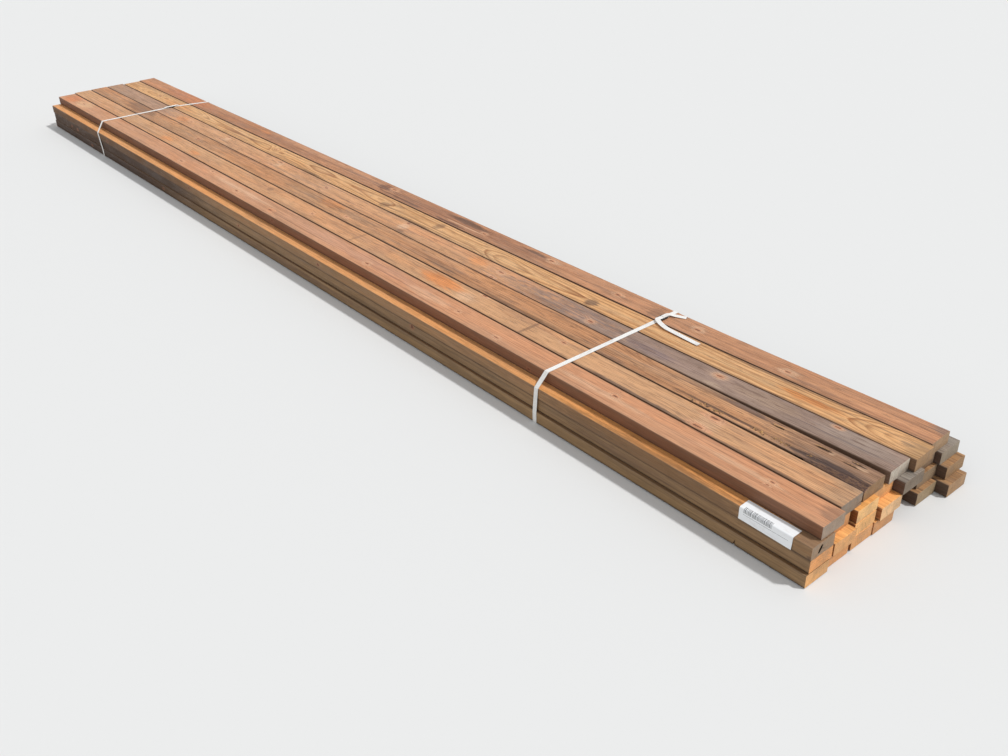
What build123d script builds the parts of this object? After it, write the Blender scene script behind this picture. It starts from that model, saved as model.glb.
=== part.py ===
from build123d import *
import os
from math import atan2, degrees, hypot

# A strapped stack of dimension lumber, lying flat on two straps.
# The stack is laid out in millimetres from the near end of its top front board:
# x runs along the boards towards the near end, y from the front to the back, z up.
# At the end every piece is moved so that the origin is the bottom centre of the whole.

# One board, a planed two by four, sixteen feet long
board_length = 4877.0
board_width = 89.0
board_thickness = 38.0
edge_radius = 3.0

# Straps, woven cord strap laid flat
strap_thickness = 0.9
strap_clearance = 0.2
near_strap_width = 16.0
far_strap_width = 13.0

# The bottom boards lie on the two straps
bottom_level = strap_thickness + strap_clearance

# Top row: six boards, held together at the straps and spreading beyond the near strap
top_front = 0.0
top_gaps = [4.0, 3.5, 2.0, 3.0, 4.0]
top_ends = [-4.0, -20.0, -22.0, -20.0, -6.0, -17.0]
top_spread = [0.0, 0.0, 4.5, 19.5, 18.0, 15.5]

# Three lower rows of seven boards: front place, gaps between boards, and near ends
second_front = -37.0
second_gaps = [1.0, 11.0, 1.0, 2.0, 1.0, 1.0]
second_ends = [0.0, -21.0, -8.0, -25.0, 4.0, -20.0, -3.0]
second_swing = -9.0
third_front = -36.0
third_gaps = [2.0, 6.0, 11.0, 0.5, 0.5, 0.5]
third_ends = [0.0, 2.0, -7.0, 1.0, -30.0, -10.0, 17.0]
third_swing = -8.0
bottom_front = -45.0
bottom_gaps = [2.0, 10.0, 1.0, 1.0, 1.0, 1.0]
bottom_ends = [1.0, -6.0, -6.0, -4.0, -32.0, 4.0, 37.0]
bottom_swing = -2.0

# Where the straps cross the stack, from the near end and from the boards' far ends
near_strap_place = -928.0
far_strap_inset = 627.0
far_strap_place = far_strap_inset - board_length

# How far the far strap stands askew of its buckle at the edges that it bears on
far_skew_top_front = -8.0
far_skew_second_front = 28.0
far_skew_bottom = 54.0
far_skew_back = 44.0

# The top boards run straight as far as the near strap, then bend out
bend_lead = 28.0
bend_start = near_strap_place + bend_lead
bend_length = 300.0

# Wane, the rounded bark edge of the log left on the third top board
wane_length = 620.0
wane_width = 32.0
wane_depth = 13.0
log_radius = 120.0

# Rotten knot hole in the end of the second row's front board
knot_across = 34.0
knot_height = 19.0
knot_hole_width = 9.0
knot_hole_height = 24.0
knot_hole_lean = 60.0
knot_hole_depth = 16.0

# Chip broken out of the lower front edge of the bottom row's front board
chip_place = -205.0
chip_width = 9.0
chip_height = 19.0
chip_depth = 6.0

# Wire buckles
wire_diameter = 3.4
wire_clearance = 0.1
bar_slimness = 0.94
near_buckle_inset = 23.5
far_buckle_inset = -2.5
buckle_side_play = 1.2
buckle_corner_radius = 4.0
buckle_window = 9.0

# Loose strap ends: the straight length of each beyond its bend
long_end_run = 116.0
short_end_run = 34.0
far_end_run = 9.0

# Paper tag folded over the edge of the second row's front board
tag_length = 152.0
tag_near_side = -52.0
tag_thickness = 0.5
tag_clearance = 0.1
tag_top = 33.0
tag_drop = 34.0

pieces = {}


def fronts(first, gaps):
    places = [first]
    for gap in gaps:
        places.append(places[-1] + board_width + gap)
    return places


def level(row):
    """Height of the underside of a row, counted from the bottom."""
    return bottom_level + row * board_thickness


def straight_board(name, near_end, front, row, swing):
    """A board lying straight, its far end set over to the side by the swing."""
    middle = front + board_width / 2
    height = level(row) + board_thickness / 2
    run = Vector(-board_length, swing, 0).normalized()
    section = Plane(
        origin=(near_end, middle, height),
        x_dir=run.rotate(Axis.Z, 90),
        z_dir=run,
    )
    with BuildPart() as board:
        with BuildSketch(section):
            RectangleRounded(board_width, board_thickness, edge_radius)
        extrude(amount=board_length)
    board.part.label = name
    return board.part


def spread_board(name, near_end, front, row, spread):
    """A board that lies straight between the straps and bends out beyond the near one."""
    middle = front + board_width / 2
    height = level(row) + board_thickness / 2
    beyond = near_end - bend_start - bend_length
    turn = spread / (beyond + bend_length / 2)
    with BuildPart() as board:
        with BuildLine() as run:
            straight = Line((near_end - board_length, middle, height), (bend_start, middle, height))
            bend = JernArc(straight @ 1, straight % 1, bend_length / turn, degrees(turn))
            Line(bend @ 1, bend @ 1 + (bend % 1) * beyond)
        with BuildSketch(Plane(origin=run.line @ 0, x_dir=(0, 1, 0), z_dir=(1, 0, 0))):
            RectangleRounded(board_width, board_thickness, edge_radius)
        sweep()
    board.part.label = name
    return board.part


top_fronts = fronts(top_front, top_gaps)
second_fronts = fronts(second_front, second_gaps)
third_fronts = fronts(third_front, third_gaps)
bottom_fronts = fronts(bottom_front, bottom_gaps)

# The near buckle lies on the sixth top board and the far one on the seam before the fifth
near_buckle_place = top_fronts[5] + near_buckle_inset
far_buckle_place = top_fronts[4] + far_buckle_inset

# The top row
for number, (front, near_end, spread) in enumerate(zip(top_fronts, top_ends, top_spread), 1):
    name = f"top_board_{number}"
    if spread > 0:
        pieces[name] = spread_board(name, near_end, front, 3, spread)
    else:
        pieces[name] = straight_board(name, near_end, front, 3, 0)

# The three lower rows
lower_rows = [
    ("second_board", second_fronts, second_ends, 2, second_swing),
    ("third_board", third_fronts, third_ends, 1, third_swing),
    ("bottom_board", bottom_fronts, bottom_ends, 0, bottom_swing),
]
for row_name, row_fronts, row_ends, row, swing in lower_rows:
    for number, (front, near_end) in enumerate(zip(row_fronts, row_ends), 1):
        name = f"{row_name}_{number}"
        pieces[name] = straight_board(name, near_end, front, row, swing)

# The wane follows the log: its round is drawn at the near end and fades out along the board
top_of_stack = level(4)
wane_front = top_fronts[2] + top_spread[2]
wane_rise = wane_depth / wane_width
wane_plane = Plane(
    origin=(top_ends[2] + edge_radius, wane_front, top_of_stack),
    x_dir=(0, 1, 0),
    z_dir=(1, 0, 0),
)
wane_low = (-edge_radius, -wane_depth - edge_radius * wane_rise)
wane_high = (wane_width + edge_radius, edge_radius * wane_rise)
wane_fade = Vector(
    -wane_length, -wane_width - 2 * edge_radius, wane_depth + 2 * edge_radius * wane_rise
)
with BuildPart() as waney_board:
    add(pieces["top_board_3"])
    with BuildSketch(wane_plane):
        with BuildLine():
            RadiusArc(wane_low, wane_high, log_radius)
            Line(wane_high, (-edge_radius, wane_high[1]))
            Line((-edge_radius, wane_high[1]), wane_low)
        make_face()
    extrude(amount=wane_fade.length, dir=wane_fade.normalized(), mode=Mode.SUBTRACT)
waney_board.part.label = "top_board_3"
pieces["top_board_3"] = waney_board.part

# The knot hole in the end of the second row's front board
hole_plane = Plane(
    origin=(second_ends[0], second_front + knot_across, level(2) + knot_height),
    x_dir=(0, 1, 0),
    z_dir=(1, 0, 0),
)
with BuildPart() as holed_board:
    add(pieces["second_board_1"])
    with BuildSketch(hole_plane):
        Ellipse(knot_hole_height / 2, knot_hole_width / 2, rotation=knot_hole_lean)
    extrude(amount=knot_hole_depth, both=True, mode=Mode.SUBTRACT)
holed_board.part.label = "second_board_1"
pieces["second_board_1"] = holed_board.part

# The chip in the bottom row's front board, cut square to its front
chip_plane = Plane(
    origin=(chip_place, bottom_front + bottom_swing, level(0)), x_dir=(1, 0, 0), z_dir=(0, -1, 0)
)
with BuildPart() as chipped_board:
    add(pieces["bottom_board_1"])
    with BuildSketch(chip_plane):
        with BuildLine():
            Polyline(
                (-chip_width / 2, -edge_radius),
                (chip_width / 2, -edge_radius),
                (chip_width / 2, chip_height),
                close=True,
            )
        make_face()
    extrude(amount=-chip_depth + bottom_swing, mode=Mode.SUBTRACT)
chipped_board.part.label = "bottom_board_1"
pieces["bottom_board_1"] = chipped_board.part


def edge_centres(x):
    """Centres of the rounded outer edges of the four rows where a strap crosses them."""
    rows = [
        (3, top_fronts, top_ends, 0.0),
        (2, second_fronts, second_ends, second_swing),
        (1, third_fronts, third_ends, third_swing),
        (0, bottom_fronts, bottom_ends, bottom_swing),
    ]
    centres = []
    for row, places, ends, swing in rows:
        front = places[0] + swing * (ends[0] - x) / board_length + edge_radius
        back = places[-1] + board_width + swing * (ends[-1] - x) / board_length - edge_radius
        low = level(row) + edge_radius
        high = level(row) + board_thickness - edge_radius
        centres += [(front, low), (front, high), (back, low), (back, high)]
    return centres


def bearing_side(ordered):
    """The part of a convex outline that passes under points ordered from left to right."""
    side = []
    for point in ordered:
        while len(side) > 1:
            (y0, z0), (y1, z1) = side[-2:]
            if (y1 - y0) * (point[1] - z0) - (z1 - z0) * (point[0] - y0) > 1e-6:
                break
            side.pop()
        side.append(point)
    return side


def taut_corners(points):
    """The edges that a taut strap bears on, from the top front edge round under the stack."""
    under = bearing_side(sorted(set(points)))
    over = bearing_side(sorted(set(points), reverse=True))
    corners = under[:-1] + over[:-1]
    on_top = [corner for corner in corners if corner[1] > level(3)]
    first = corners.index(min(on_top))
    return corners[first:] + corners[:first]


def outward(start, end):
    """Direction square to a run, away from the stack."""
    length = hypot(end[0] - start[0], end[1] - start[1])
    return (end[1] - start[1]) / length, -(end[0] - start[0]) / length


# The strap's two ends meet in the buckle, each wrapped round its own bar of bent wire.
# Heights in the buckle are counted from the top of the stack.
wire_radius = wire_diameter / 2
band_height = strap_clearance + strap_thickness / 2
wrap_radius = wire_radius + wire_clearance + strap_thickness / 2
bar_height = band_height + wrap_radius
bar_spacing = 2 * wrap_radius + strap_thickness + strap_clearance
folded_height = bar_height + wrap_radius
fold_back = buckle_window + wire_diameter
lead = 2 * fold_back


def strap(name, corners, places, buckle_x, buckle_y, width, front_end, back_end):
    """A strap round the stack, from bar to bar of its buckle, and its two loose ends.

    Each loose end is a list of sections and the length of its straight run after the last.
    A section is a step from where the band leaves the buckle, a heading and the direction
    across the band."""
    mid_band = edge_radius + strap_clearance + strap_thickness / 2
    runs = []
    for index in range(1, len(corners)):
        start, end = corners[index - 1], corners[index]
        across, up = outward(start, end)
        first = Vector(places[index - 1], start[0] + across * mid_band, start[1] + up * mid_band)
        last = Vector(places[index], end[0] + across * mid_band, end[1] + up * mid_band)
        runs.append((first, last))
    band_level = top_of_stack + band_height
    front_bar = buckle_y - bar_spacing / 2
    back_bar = buckle_y + bar_spacing / 2
    at_front = Vector(places[0], corners[0][0], band_level)
    at_back = Vector(places[-1], corners[-1][0], band_level)
    runs.append((at_front, Vector(buckle_x, front_bar - lead, band_level)))
    runs.append((at_back, Vector(buckle_x, back_bar + lead, band_level)))

    with BuildPart() as band:
        for first, last in runs:
            heading = Vector(0, last.Y - first.Y, last.Z - first.Z).normalized()
            run = last - first
            with BuildSketch(Plane(origin=first, x_dir=(1, 0, 0), z_dir=heading)):
                Rectangle(width, strap_thickness)
            extrude(amount=run.length, dir=run.normalized())
        for index, corner in enumerate(corners):
            after = corners[(index + 1) % len(corners)]
            normal_in = outward(corners[index - 1], corner)
            normal_out = outward(corner, after)
            start_angle = degrees(atan2(normal_in[1], normal_in[0]))
            turn = (degrees(atan2(normal_out[1], normal_out[0])) - start_angle) % 360
            side = Plane(
                origin=(places[index] - width / 2, corner[0], corner[1]),
                x_dir=(0, 1, 0),
                z_dir=(1, 0, 0),
            )
            with BuildSketch(side):
                with BuildLine():
                    inside = CenterArc((0, 0), mid_band - strap_thickness / 2, start_angle, turn)
                    outside = CenterArc((0, 0), mid_band + strap_thickness / 2, start_angle, turn)
                    Line(inside @ 0, outside @ 0)
                    Line(inside @ 1, outside @ 1)
                make_face()
            extrude(amount=width)
        for facing, bar_y, loose_end in ((1, front_bar, front_end), (-1, back_bar, back_end)):
            side = Plane(
                origin=(buckle_x, bar_y, top_of_stack), x_dir=(0, facing, 0), z_dir=(facing, 0, 0)
            )
            with BuildSketch(side):
                with BuildLine():
                    Line((-lead, band_height), (0, band_height))
                    JernArc((0, band_height), (1, 0), wrap_radius, 180)
                    Line((0, folded_height), (-fold_back, folded_height))
                trace(line_width=strap_thickness)
            extrude(amount=width / 2, both=True)
            leaves_at = Vector(buckle_x, bar_y - facing * fold_back, top_of_stack + folded_height)
            sections, straight_length = loose_end
            for step, heading, across in sections:
                section = Plane(origin=leaves_at + Vector(step), x_dir=across, z_dir=heading)
                with BuildSketch(section):
                    Rectangle(width, strap_thickness)
            loft()
            with BuildSketch(section):
                Rectangle(width, strap_thickness)
            extrude(amount=straight_length)
    band.part.label = name
    return band.part


def wire_buckle(name, x, y, width):
    """A buckle of bent wire: a closed frame with two bars across it for the strap's ends."""
    half_width = width / 2 + buckle_side_play + wire_radius
    half_length = bar_spacing / 2 + wire_radius + buckle_window
    height = top_of_stack + bar_height
    with BuildPart() as buckle:
        with BuildLine(Plane((x, y, height))) as frame:
            FilletPolyline(
                (half_width, -half_length),
                (half_width, half_length),
                (-half_width, half_length),
                (-half_width, -half_length),
                radius=buckle_corner_radius,
                close=True,
            )
        path = frame.wire()
        with BuildSketch(Plane(origin=path @ 0, z_dir=path % 0)):
            Circle(wire_radius)
        sweep(path=path)
        for bar_y in (y - bar_spacing / 2, y + bar_spacing / 2):
            with BuildSketch(Plane(origin=(x, bar_y, height), z_dir=(1, 0, 0))):
                Circle(wire_radius * bar_slimness)
            extrude(amount=half_width, both=True)
    buckle.part.label = name
    return buckle.part


# How far a loose end comes down from the buckle to lie on the top boards
fall = band_height - folded_height

# The near strap, with one long loose end and one short
near_corners = taut_corners(edge_centres(near_strap_place))
near_places = [near_strap_place] * len(near_corners)
long_end = (
    [
        ((0, 0, 0), (0, -1, 0), (1, 0, 0)),
        ((1, -9, 2), (0.15, -1, 0.2), (1, 0.15, 0)),
        ((7, -19, 3), (0.6, -0.8, 0), (0.8, 0.6, 0)),
        ((19, -28, 1), (0.85, -0.5, -0.2), (0.5, 0.85, 0)),
        ((34, -34, fall + 1.6), (0.96, -0.25, -0.08), (0.25, 0.96, 0)),
        ((52, -38, fall + 0.6), (0.99, -0.12, -0.03), (0.12, 0.99, 0)),
        ((72, -40, fall + 0.2), (1, 0.02, 0), (-0.02, 1, 0)),
    ],
    long_end_run,
)
short_end = (
    [
        ((0, 0, 0), (0, 1, 0), (1, 0, 0)),
        ((2, 8, 1), (0.3, 1, 0), (1, -0.3, 0)),
        ((9, 16, 0), (0.8, 0.8, -0.15), (0.8, -0.8, 0)),
        ((20, 23, -2), (0.9, 0.5, (fall + 2.3) / short_end_run), (0.5, -0.9, 0)),
    ],
    short_end_run,
)
pieces["near_strap"] = strap(
    "near_strap",
    near_corners,
    near_places,
    near_strap_place,
    near_buckle_place,
    near_strap_width,
    long_end,
    short_end,
)
pieces["near_buckle"] = wire_buckle(
    "near_buckle", near_strap_place, near_buckle_place, near_strap_width
)

# The far strap lies a little askew, so its bearing edges differ in place along the stack
far_corners = taut_corners(edge_centres(far_strap_place + far_skew_back))
far_places = []
for corner_y, corner_z in far_corners:
    if corner_y > far_buckle_place:
        far_places.append(far_strap_place + far_skew_back)
    elif corner_z < level(1):
        far_places.append(far_strap_place + far_skew_bottom)
    elif corner_z < level(3):
        far_places.append(far_strap_place + far_skew_second_front)
    else:
        far_places.append(far_strap_place + far_skew_top_front)
stub_end = (
    [
        ((0, 0, 0), (0, -1, 0), (1, 0, 0)),
        ((0, -8, 0.5), (0, -1, 0), (1, 0, 0)),
        ((0, -16, -0.5), (0, -1, -0.2), (1, 0, 0)),
    ],
    far_end_run,
)
other_stub_end = (
    [
        ((0, 0, 0), (0, 1, 0), (1, 0, 0)),
        ((0, 8, 0.5), (0, 1, 0), (1, 0, 0)),
        ((0, 16, -0.5), (0, 1, -0.2), (1, 0, 0)),
    ],
    far_end_run,
)
pieces["far_strap"] = strap(
    "far_strap",
    far_corners,
    far_places,
    far_strap_place,
    far_buckle_place,
    far_strap_width,
    stub_end,
    other_stub_end,
)
pieces["far_buckle"] = wire_buckle(
    "far_buckle", far_strap_place, far_buckle_place, far_strap_width
)

# The paper tag, folded over the edge of the second row's front board
tag_run = Vector(-board_length, second_swing, 0).normalized()
tag_side = second_front + second_swing * (second_ends[0] - tag_near_side) / board_length
tag_lift = tag_clearance + tag_thickness / 2
tag_plane = Plane(
    origin=(tag_near_side, tag_side, level(3)), x_dir=tag_run.rotate(Axis.Z, 90), z_dir=tag_run
)
with BuildPart() as tag:
    with BuildSketch(tag_plane):
        with BuildLine():
            top_flap = Line((-tag_top, tag_lift), (-edge_radius, tag_lift))
            fold = JernArc(top_flap @ 1, top_flap % 1, edge_radius + tag_lift, -90)
            Line(fold @ 1, (tag_lift, -tag_drop))
        trace(line_width=tag_thickness)
    extrude(amount=tag_length)
tag.part.label = "paper_tag"
pieces["paper_tag"] = tag.part

# Set the origin at the bottom centre of the whole stack and write each piece
os.makedirs("parts", exist_ok=True)
boxes = [piece.bounding_box() for piece in pieces.values()]
whole = boxes[0]
for box in boxes[1:]:
    whole = whole.add(box)
home = Location((-whole.center().X, -whole.center().Y, -whole.min.Z))
for name, piece in pieces.items():
    export_step(piece.moved(home), f"parts/{name}.step")
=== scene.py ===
import math
from typing import NamedTuple

import bmesh
import bpy
from bpy.props import FloatProperty, FloatVectorProperty, PointerProperty
from mathutils import Matrix, Vector, noise
from mathutils.bvhtree import BVHTree
from mathutils.geometry import convex_hull_2d


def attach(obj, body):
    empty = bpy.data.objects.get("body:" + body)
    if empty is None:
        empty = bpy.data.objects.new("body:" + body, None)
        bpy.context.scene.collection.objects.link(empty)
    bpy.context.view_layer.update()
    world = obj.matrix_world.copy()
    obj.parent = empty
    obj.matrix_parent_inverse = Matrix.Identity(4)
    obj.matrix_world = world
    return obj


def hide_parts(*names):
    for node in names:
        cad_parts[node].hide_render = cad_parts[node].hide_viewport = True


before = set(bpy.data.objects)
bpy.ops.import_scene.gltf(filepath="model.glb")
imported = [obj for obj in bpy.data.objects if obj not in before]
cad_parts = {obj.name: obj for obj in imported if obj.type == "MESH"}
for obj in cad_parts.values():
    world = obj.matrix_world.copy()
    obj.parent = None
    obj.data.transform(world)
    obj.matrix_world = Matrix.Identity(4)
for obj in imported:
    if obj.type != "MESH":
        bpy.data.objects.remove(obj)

bl_info = {
    "name": "Stack of lumber",
    "version": (1, 0, 0),
    "blender": (4, 5, 0),
    "location": "3D View > Sidebar > Lumber",
    "description": "Weathered boards, cord straps, wire buckles and a paper tag",
    "category": "Object",
}

# The frame's sizes, in metres
BOARD_WIDTH = 0.089
BOARD_THICKNESS = 0.038
BOARD_LENGTH = 4.877
EDGE_RADIUS = 0.003
WANE_REACH = 0.62
STRAP_THICKNESS = 0.0009
STRAP_CLEARANCE = 0.0002
WIRE_RADIUS = 0.0017
WIRE_CLEARANCE = 0.0001
BUCKLE_WINDOW = 0.009

# The camera stands where the photograph was taken from
CAMERA_PLACE = (3.3472, -1.9402, 1.6199)
CAMERA_AZIMUTH = 50.7208
CAMERA_ELEVATION = 30.9526
CAMERA_ROLL = -1.437
CAMERA_LENS = 36.14
SENSOR_WIDTH = 36.0

# The stage: a wide floor just under the stack, the directions towards its two lights, the fill
# light's share of the key's strength and its softness, and the sky's colour and its strength
# where the camera or a glossy surface sees it
FLOOR_RADIUS = 60.0
FLOOR_LEVEL = -0.0002
TOWARDS_KEY = (0.42, 0.33, 0.84)
TOWARDS_FILL = (0.2, -0.75, 0.6)
FILL_SHARE = 0.12
FILL_SOFTNESS = math.radians(60)
SKY_COLOUR = (0.95, 0.97, 1.0, 1.0)
SKY_SEEN = 0.85

# Blender's noise vectors start from the clock unless they are given a seed. The bare numbers in
# the Vector that a noise is read at set its scale, or choose a part of it.
NOISE_SEED = 5


def tint(red, green, blue):
    """The linear colour that a shader takes, from one seen on a screen, 0 to 255 a channel."""
    linear = []
    for value in (red, green, blue):
        share = value / 255
        linear.append(share / 12.92 if share <= 0.04045 else ((share + 0.055) / 1.055) ** 2.4)
    return (*linear, 1.0)


class Wiring:
    """Adds shader nodes to a tree and links them. A value may be a socket, a number or a colour."""

    def __init__(self, tree):
        self.tree = tree
        self.column = 0

    def add(self, kind, **settings):
        node = self.tree.nodes.new(kind)
        self.column += 1
        node.location = (180 * self.column, -160 * (self.column % 5))
        for key, value in settings.items():
            setattr(node, key, value)
        return node

    def feed(self, socket, value):
        if isinstance(value, bpy.types.NodeSocket):
            self.tree.links.new(value, socket)
        else:
            socket.default_value = value

    def filled(self, node, *values, **named):
        """The node with its first inputs fed in order, or inputs by name with _ for a space."""
        for socket, value in zip(node.inputs, values):
            self.feed(socket, value)
        for name, value in named.items():
            self.feed(node.inputs[name.replace("_", " ")], value)
        return node

    def math(self, operation, *values):
        return self.filled(self.add("ShaderNodeMath", operation=operation), *values).outputs[0]

    def plus(self, first, *others):
        for other in others:
            first = self.math("ADD", first, other)
        return first

    def minus(self, a, b):
        return self.math("SUBTRACT", a, b)

    def times(self, first, *others):
        for other in others:
            first = self.math("MULTIPLY", first, other)
        return first

    def vector(self, operation, *values):
        node = self.filled(self.add("ShaderNodeVectorMath", operation=operation), *values)
        return node.outputs["Value" if operation == "LENGTH" else "Vector"]

    def split(self, vector):
        return self.filled(self.add("ShaderNodeSeparateXYZ"), vector).outputs

    def join(self, x, y, z):
        return self.filled(self.add("ShaderNodeCombineXYZ"), x, y, z).outputs[0]

    def range(self, value, low, high, to_low=0.0, to_high=1.0, smooth=True):
        """Value carried from low..high to to_low..to_high, held at both ends."""
        kind = "SMOOTHSTEP" if smooth else "LINEAR"
        node = self.add("ShaderNodeMapRange", interpolation_type=kind)
        return self.filled(node, value, low, high, to_low, to_high).outputs[0]

    def noise(self, place, scale, detail=3.0, roughness=0.55):
        node = self.add("ShaderNodeTexNoise")
        self.filled(node, Vector=place, Scale=scale, Detail=detail, Roughness=roughness)
        return node.outputs["Fac"]

    def stretched(self, place, stretch, detail=3.0, roughness=0.55):
        """Noise that is squeezed by its own number along each axis."""
        return self.noise(self.vector("MULTIPLY", place, stretch), 1.0, detail, roughness)

    def ramp(self, value, stops):
        """Value carried through stops of grey."""
        node = self.add("ShaderNodeValToRGB")
        elements = node.color_ramp.elements
        while len(elements) < len(stops):
            elements.new(1.0)
        for element, (place, level) in zip(elements, stops):
            element.position = place
            element.color = (level, level, level, 1.0)
        return self.filled(node, value).outputs["Color"]

    def mix(self, amount, a, b, blend="MIX"):
        node = self.add("ShaderNodeMix", data_type="RGBA", blend_type=blend)
        for index, value in ((0, amount), (6, a), (7, b)):
            self.feed(node.inputs[index], value)
        return node.outputs[2]

    def laid(self, colour, *layers):
        """Lays other colours over one, each with its mask and its strength."""
        for mask, strength, over in layers:
            over = tint(*over) if isinstance(over, tuple) else over
            colour = self.mix(self.times(mask, strength), colour, over)
        return colour

    def place(self, group, **values):
        """A shared node group, its inputs given by name."""
        return self.filled(self.add("ShaderNodeGroup", node_tree=GROUPS[group]), **values).outputs

    def attribute(self, name, output="Vector"):
        return self.add("ShaderNodeAttribute", attribute_name=name).outputs[output]

    def bump(self, height, strength, distance):
        """The normal of a relief with the height given."""
        node = self.add("ShaderNodeBump")
        self.filled(node, Height=height, Strength=strength, Distance=distance)
        return node.outputs["Normal"]

    def surface(self, **values):
        """The material's shader, its inputs given by name."""
        shader = self.filled(self.add("ShaderNodeBsdfPrincipled"), **values)
        self.filled(self.add("ShaderNodeOutputMaterial"), Surface=shader.outputs[0])


def new_material(name):
    """An empty material, and the wiring that fills it."""
    material = bpy.data.materials.new(name)
    material.use_nodes = True
    material.node_tree.nodes.clear()
    return material, Wiring(material.node_tree)


# The inputs of the node groups that are vectors; the others are numbers
VECTORS = ("Place", "Pith", "Centre", "Reach")


def new_group(name, inputs, fill):
    """A node group, filled by a function that gives the value of each of its outputs."""
    group = bpy.data.node_groups.new(name, "ShaderNodeTree")
    for socket in inputs:
        kind = "NodeSocketVector" if socket in VECTORS else "NodeSocketFloat"
        group.interface.new_socket(socket, in_out="INPUT", socket_type=kind)
    w = Wiring(group)
    parts = fill(w, w.add("NodeGroupInput").outputs)
    for socket in parts:
        group.interface.new_socket(socket, in_out="OUTPUT", socket_type="NodeSocketFloat")
    w.filled(w.add("NodeGroupOutput"), **parts)
    return group


def seeded(w, given, shift):
    """The place in the board, moved by the board's seed."""
    seed = given["Seed"]
    return w.vector("ADD", given["Place"], w.vector("MULTIPLY", w.join(seed, seed, seed), shift))


def wood_parts(w, given):
    """Growth rings round a wandering pith, with fine fibres and broad changes along the board."""
    place = seeded(w, given, (3.1, 0.73, 0.41))
    across, up = w.split(given["Place"])[1:]
    pith_across, pith_up = w.split(given["Pith"])[1:]
    wander = w.stretched(place, (0.55, 2.0, 2.0), 2.0)
    drift = w.noise(w.vector("MULTIPLY", place, (1.1, 1.5, 1.5)), 1.7, 1.0)
    side = w.plus(w.minus(across, pith_across), w.range(wander, 0.3, 0.7, -0.012, 0.012))
    rise = w.plus(w.minus(up, pith_up), w.range(drift, 0.3, 0.7, -0.008, 0.008))
    ripple = w.stretched(place, (3.0, 30.0, 30.0), 2.0)
    radius = w.plus(
        w.math("SQRT", w.plus(w.times(side, side), w.times(rise, rise))),
        w.range(ripple, 0.2, 0.8, -0.0010, 0.0010, False),
        given["Swirl"],
    )
    rings = w.math("DIVIDE", radius, given["Ring width"])
    late = w.ramp(
        w.math("FRACT", rings),
        ((0.0, 0.5), (0.07, 0.0), (0.5, 0.1), (0.8, 0.75), (0.92, 1.0), (1.0, 0.5)),
    )
    year = w.noise(w.join(w.math("FLOOR", rings), given["Seed"], 0.0), 0.83, 0.0)
    tone = w.stretched(place, (2.2, 30.0, 30.0), 7.0, 0.72)
    ray = w.math("ARCTAN2", rise, side)
    spread = w.noise(w.join(w.times(ray, 26.0), w.times(radius, 9.0), given["Seed"]), 1.0)
    return {
        "Late wood": w.times(late, w.range(year, 0.3, 0.7, 0.45, 1.0, False)),
        "Fibre": w.stretched(place, (11.0, 600.0, 600.0), 4.0, 0.65),
        "Streak": w.stretched(place, (1.3, 190.0, 190.0), 5.0, 0.62),
        "Broad": w.stretched(place, (1.5, 12.0, 12.0), 4.0),
        "Checks": w.range(spread, 0.66, 0.72),
        "Tone": w.range(tone, 0.34, 0.66, -1.0, 1.0, False),
    }


def weather_parts(w, given):
    """Grey weathering in long smears, dark specks and dashes, a dusty film and saw marks."""
    place = seeded(w, given, (1.7, 0.61, 0.37))
    across, up = w.split(place)[1:]
    film = w.stretched(place, (7.0, 22.0, 22.0), 5.0, 0.7)
    cut = w.plus(w.times(across, 820.0), w.times(up, 260.0))
    return {
        "Grey": w.range(w.stretched(place, (2.6, 34.0, 34.0), 6.0, 0.68), 0.47, 0.70),
        "Specks": w.range(w.stretched(place, (90.0, 260.0, 260.0), 2.0), 0.70, 0.77),
        "Dashes": w.range(w.stretched(place, (18.0, 360.0, 360.0)), 0.56, 0.64),
        "Film": w.range(film, 0.35, 0.75, 0.0, 1.0, False),
        "Saw": w.noise(w.join(cut, w.times(up, 12.0), given["Seed"]), 1.0, 3.0, 0.6),
    }


def from_centre(w, given):
    """The way from a mark's centre to the place, counted in the mark's reach."""
    away = w.vector("SUBTRACT", given["Place"], given["Centre"])
    return w.vector("DIVIDE", away, given["Reach"])


def knot_parts(w, given):
    """A knot: a dark core with a rim, and the swirl that it makes in the rings round it."""
    away = from_centre(w, given)
    distance = w.vector("LENGTH", away)
    wobble = w.noise(given["Place"], 120.0, 2.0)
    rough = w.plus(distance, w.range(wobble, 0.2, 0.8, -0.22, 0.22, False))
    fading = w.math("EXPONENT", w.times(distance, distance, -0.16))
    ring = w.times(w.range(rough, 0.78, 0.96), w.range(rough, 1.0, 1.22, 1.0, 0.0))
    broken = w.range(w.noise(given["Place"], 210.0, 1.0), 0.42, 0.60)
    slit = w.vector("LENGTH", w.vector("MULTIPLY", away, (1.0, 2.6, 1.0)))
    slit = w.plus(slit, w.range(wobble, 0.2, 0.8, -0.25, 0.25, False))
    return {
        "Swirl": w.times(fading, w.times(w.split(given["Reach"])[1], 1.5)),
        "Core": w.range(rough, 0.55, 0.85, 1.0, 0.0),
        "Rim": w.times(ring, broken),
        "Halo": w.range(rough, 0.9, 1.7, 1.0, 0.0),
        "Eye": w.range(slit, 0.45, 0.70, 1.0, 0.0),
    }


def spot_parts(w, given):
    """A stain or patch of another colour, with a ragged soft edge."""
    distance = w.vector("LENGTH", from_centre(w, given))
    edge = w.stretched(given["Place"], (18.0, 170.0, 170.0), 5.0, 0.65)
    ragged = w.times(w.minus(edge, 0.5), 1.9)
    return {"Mask": w.range(w.plus(distance, ragged), 0.55, 1.15, 1.0, 0.0)}


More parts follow.
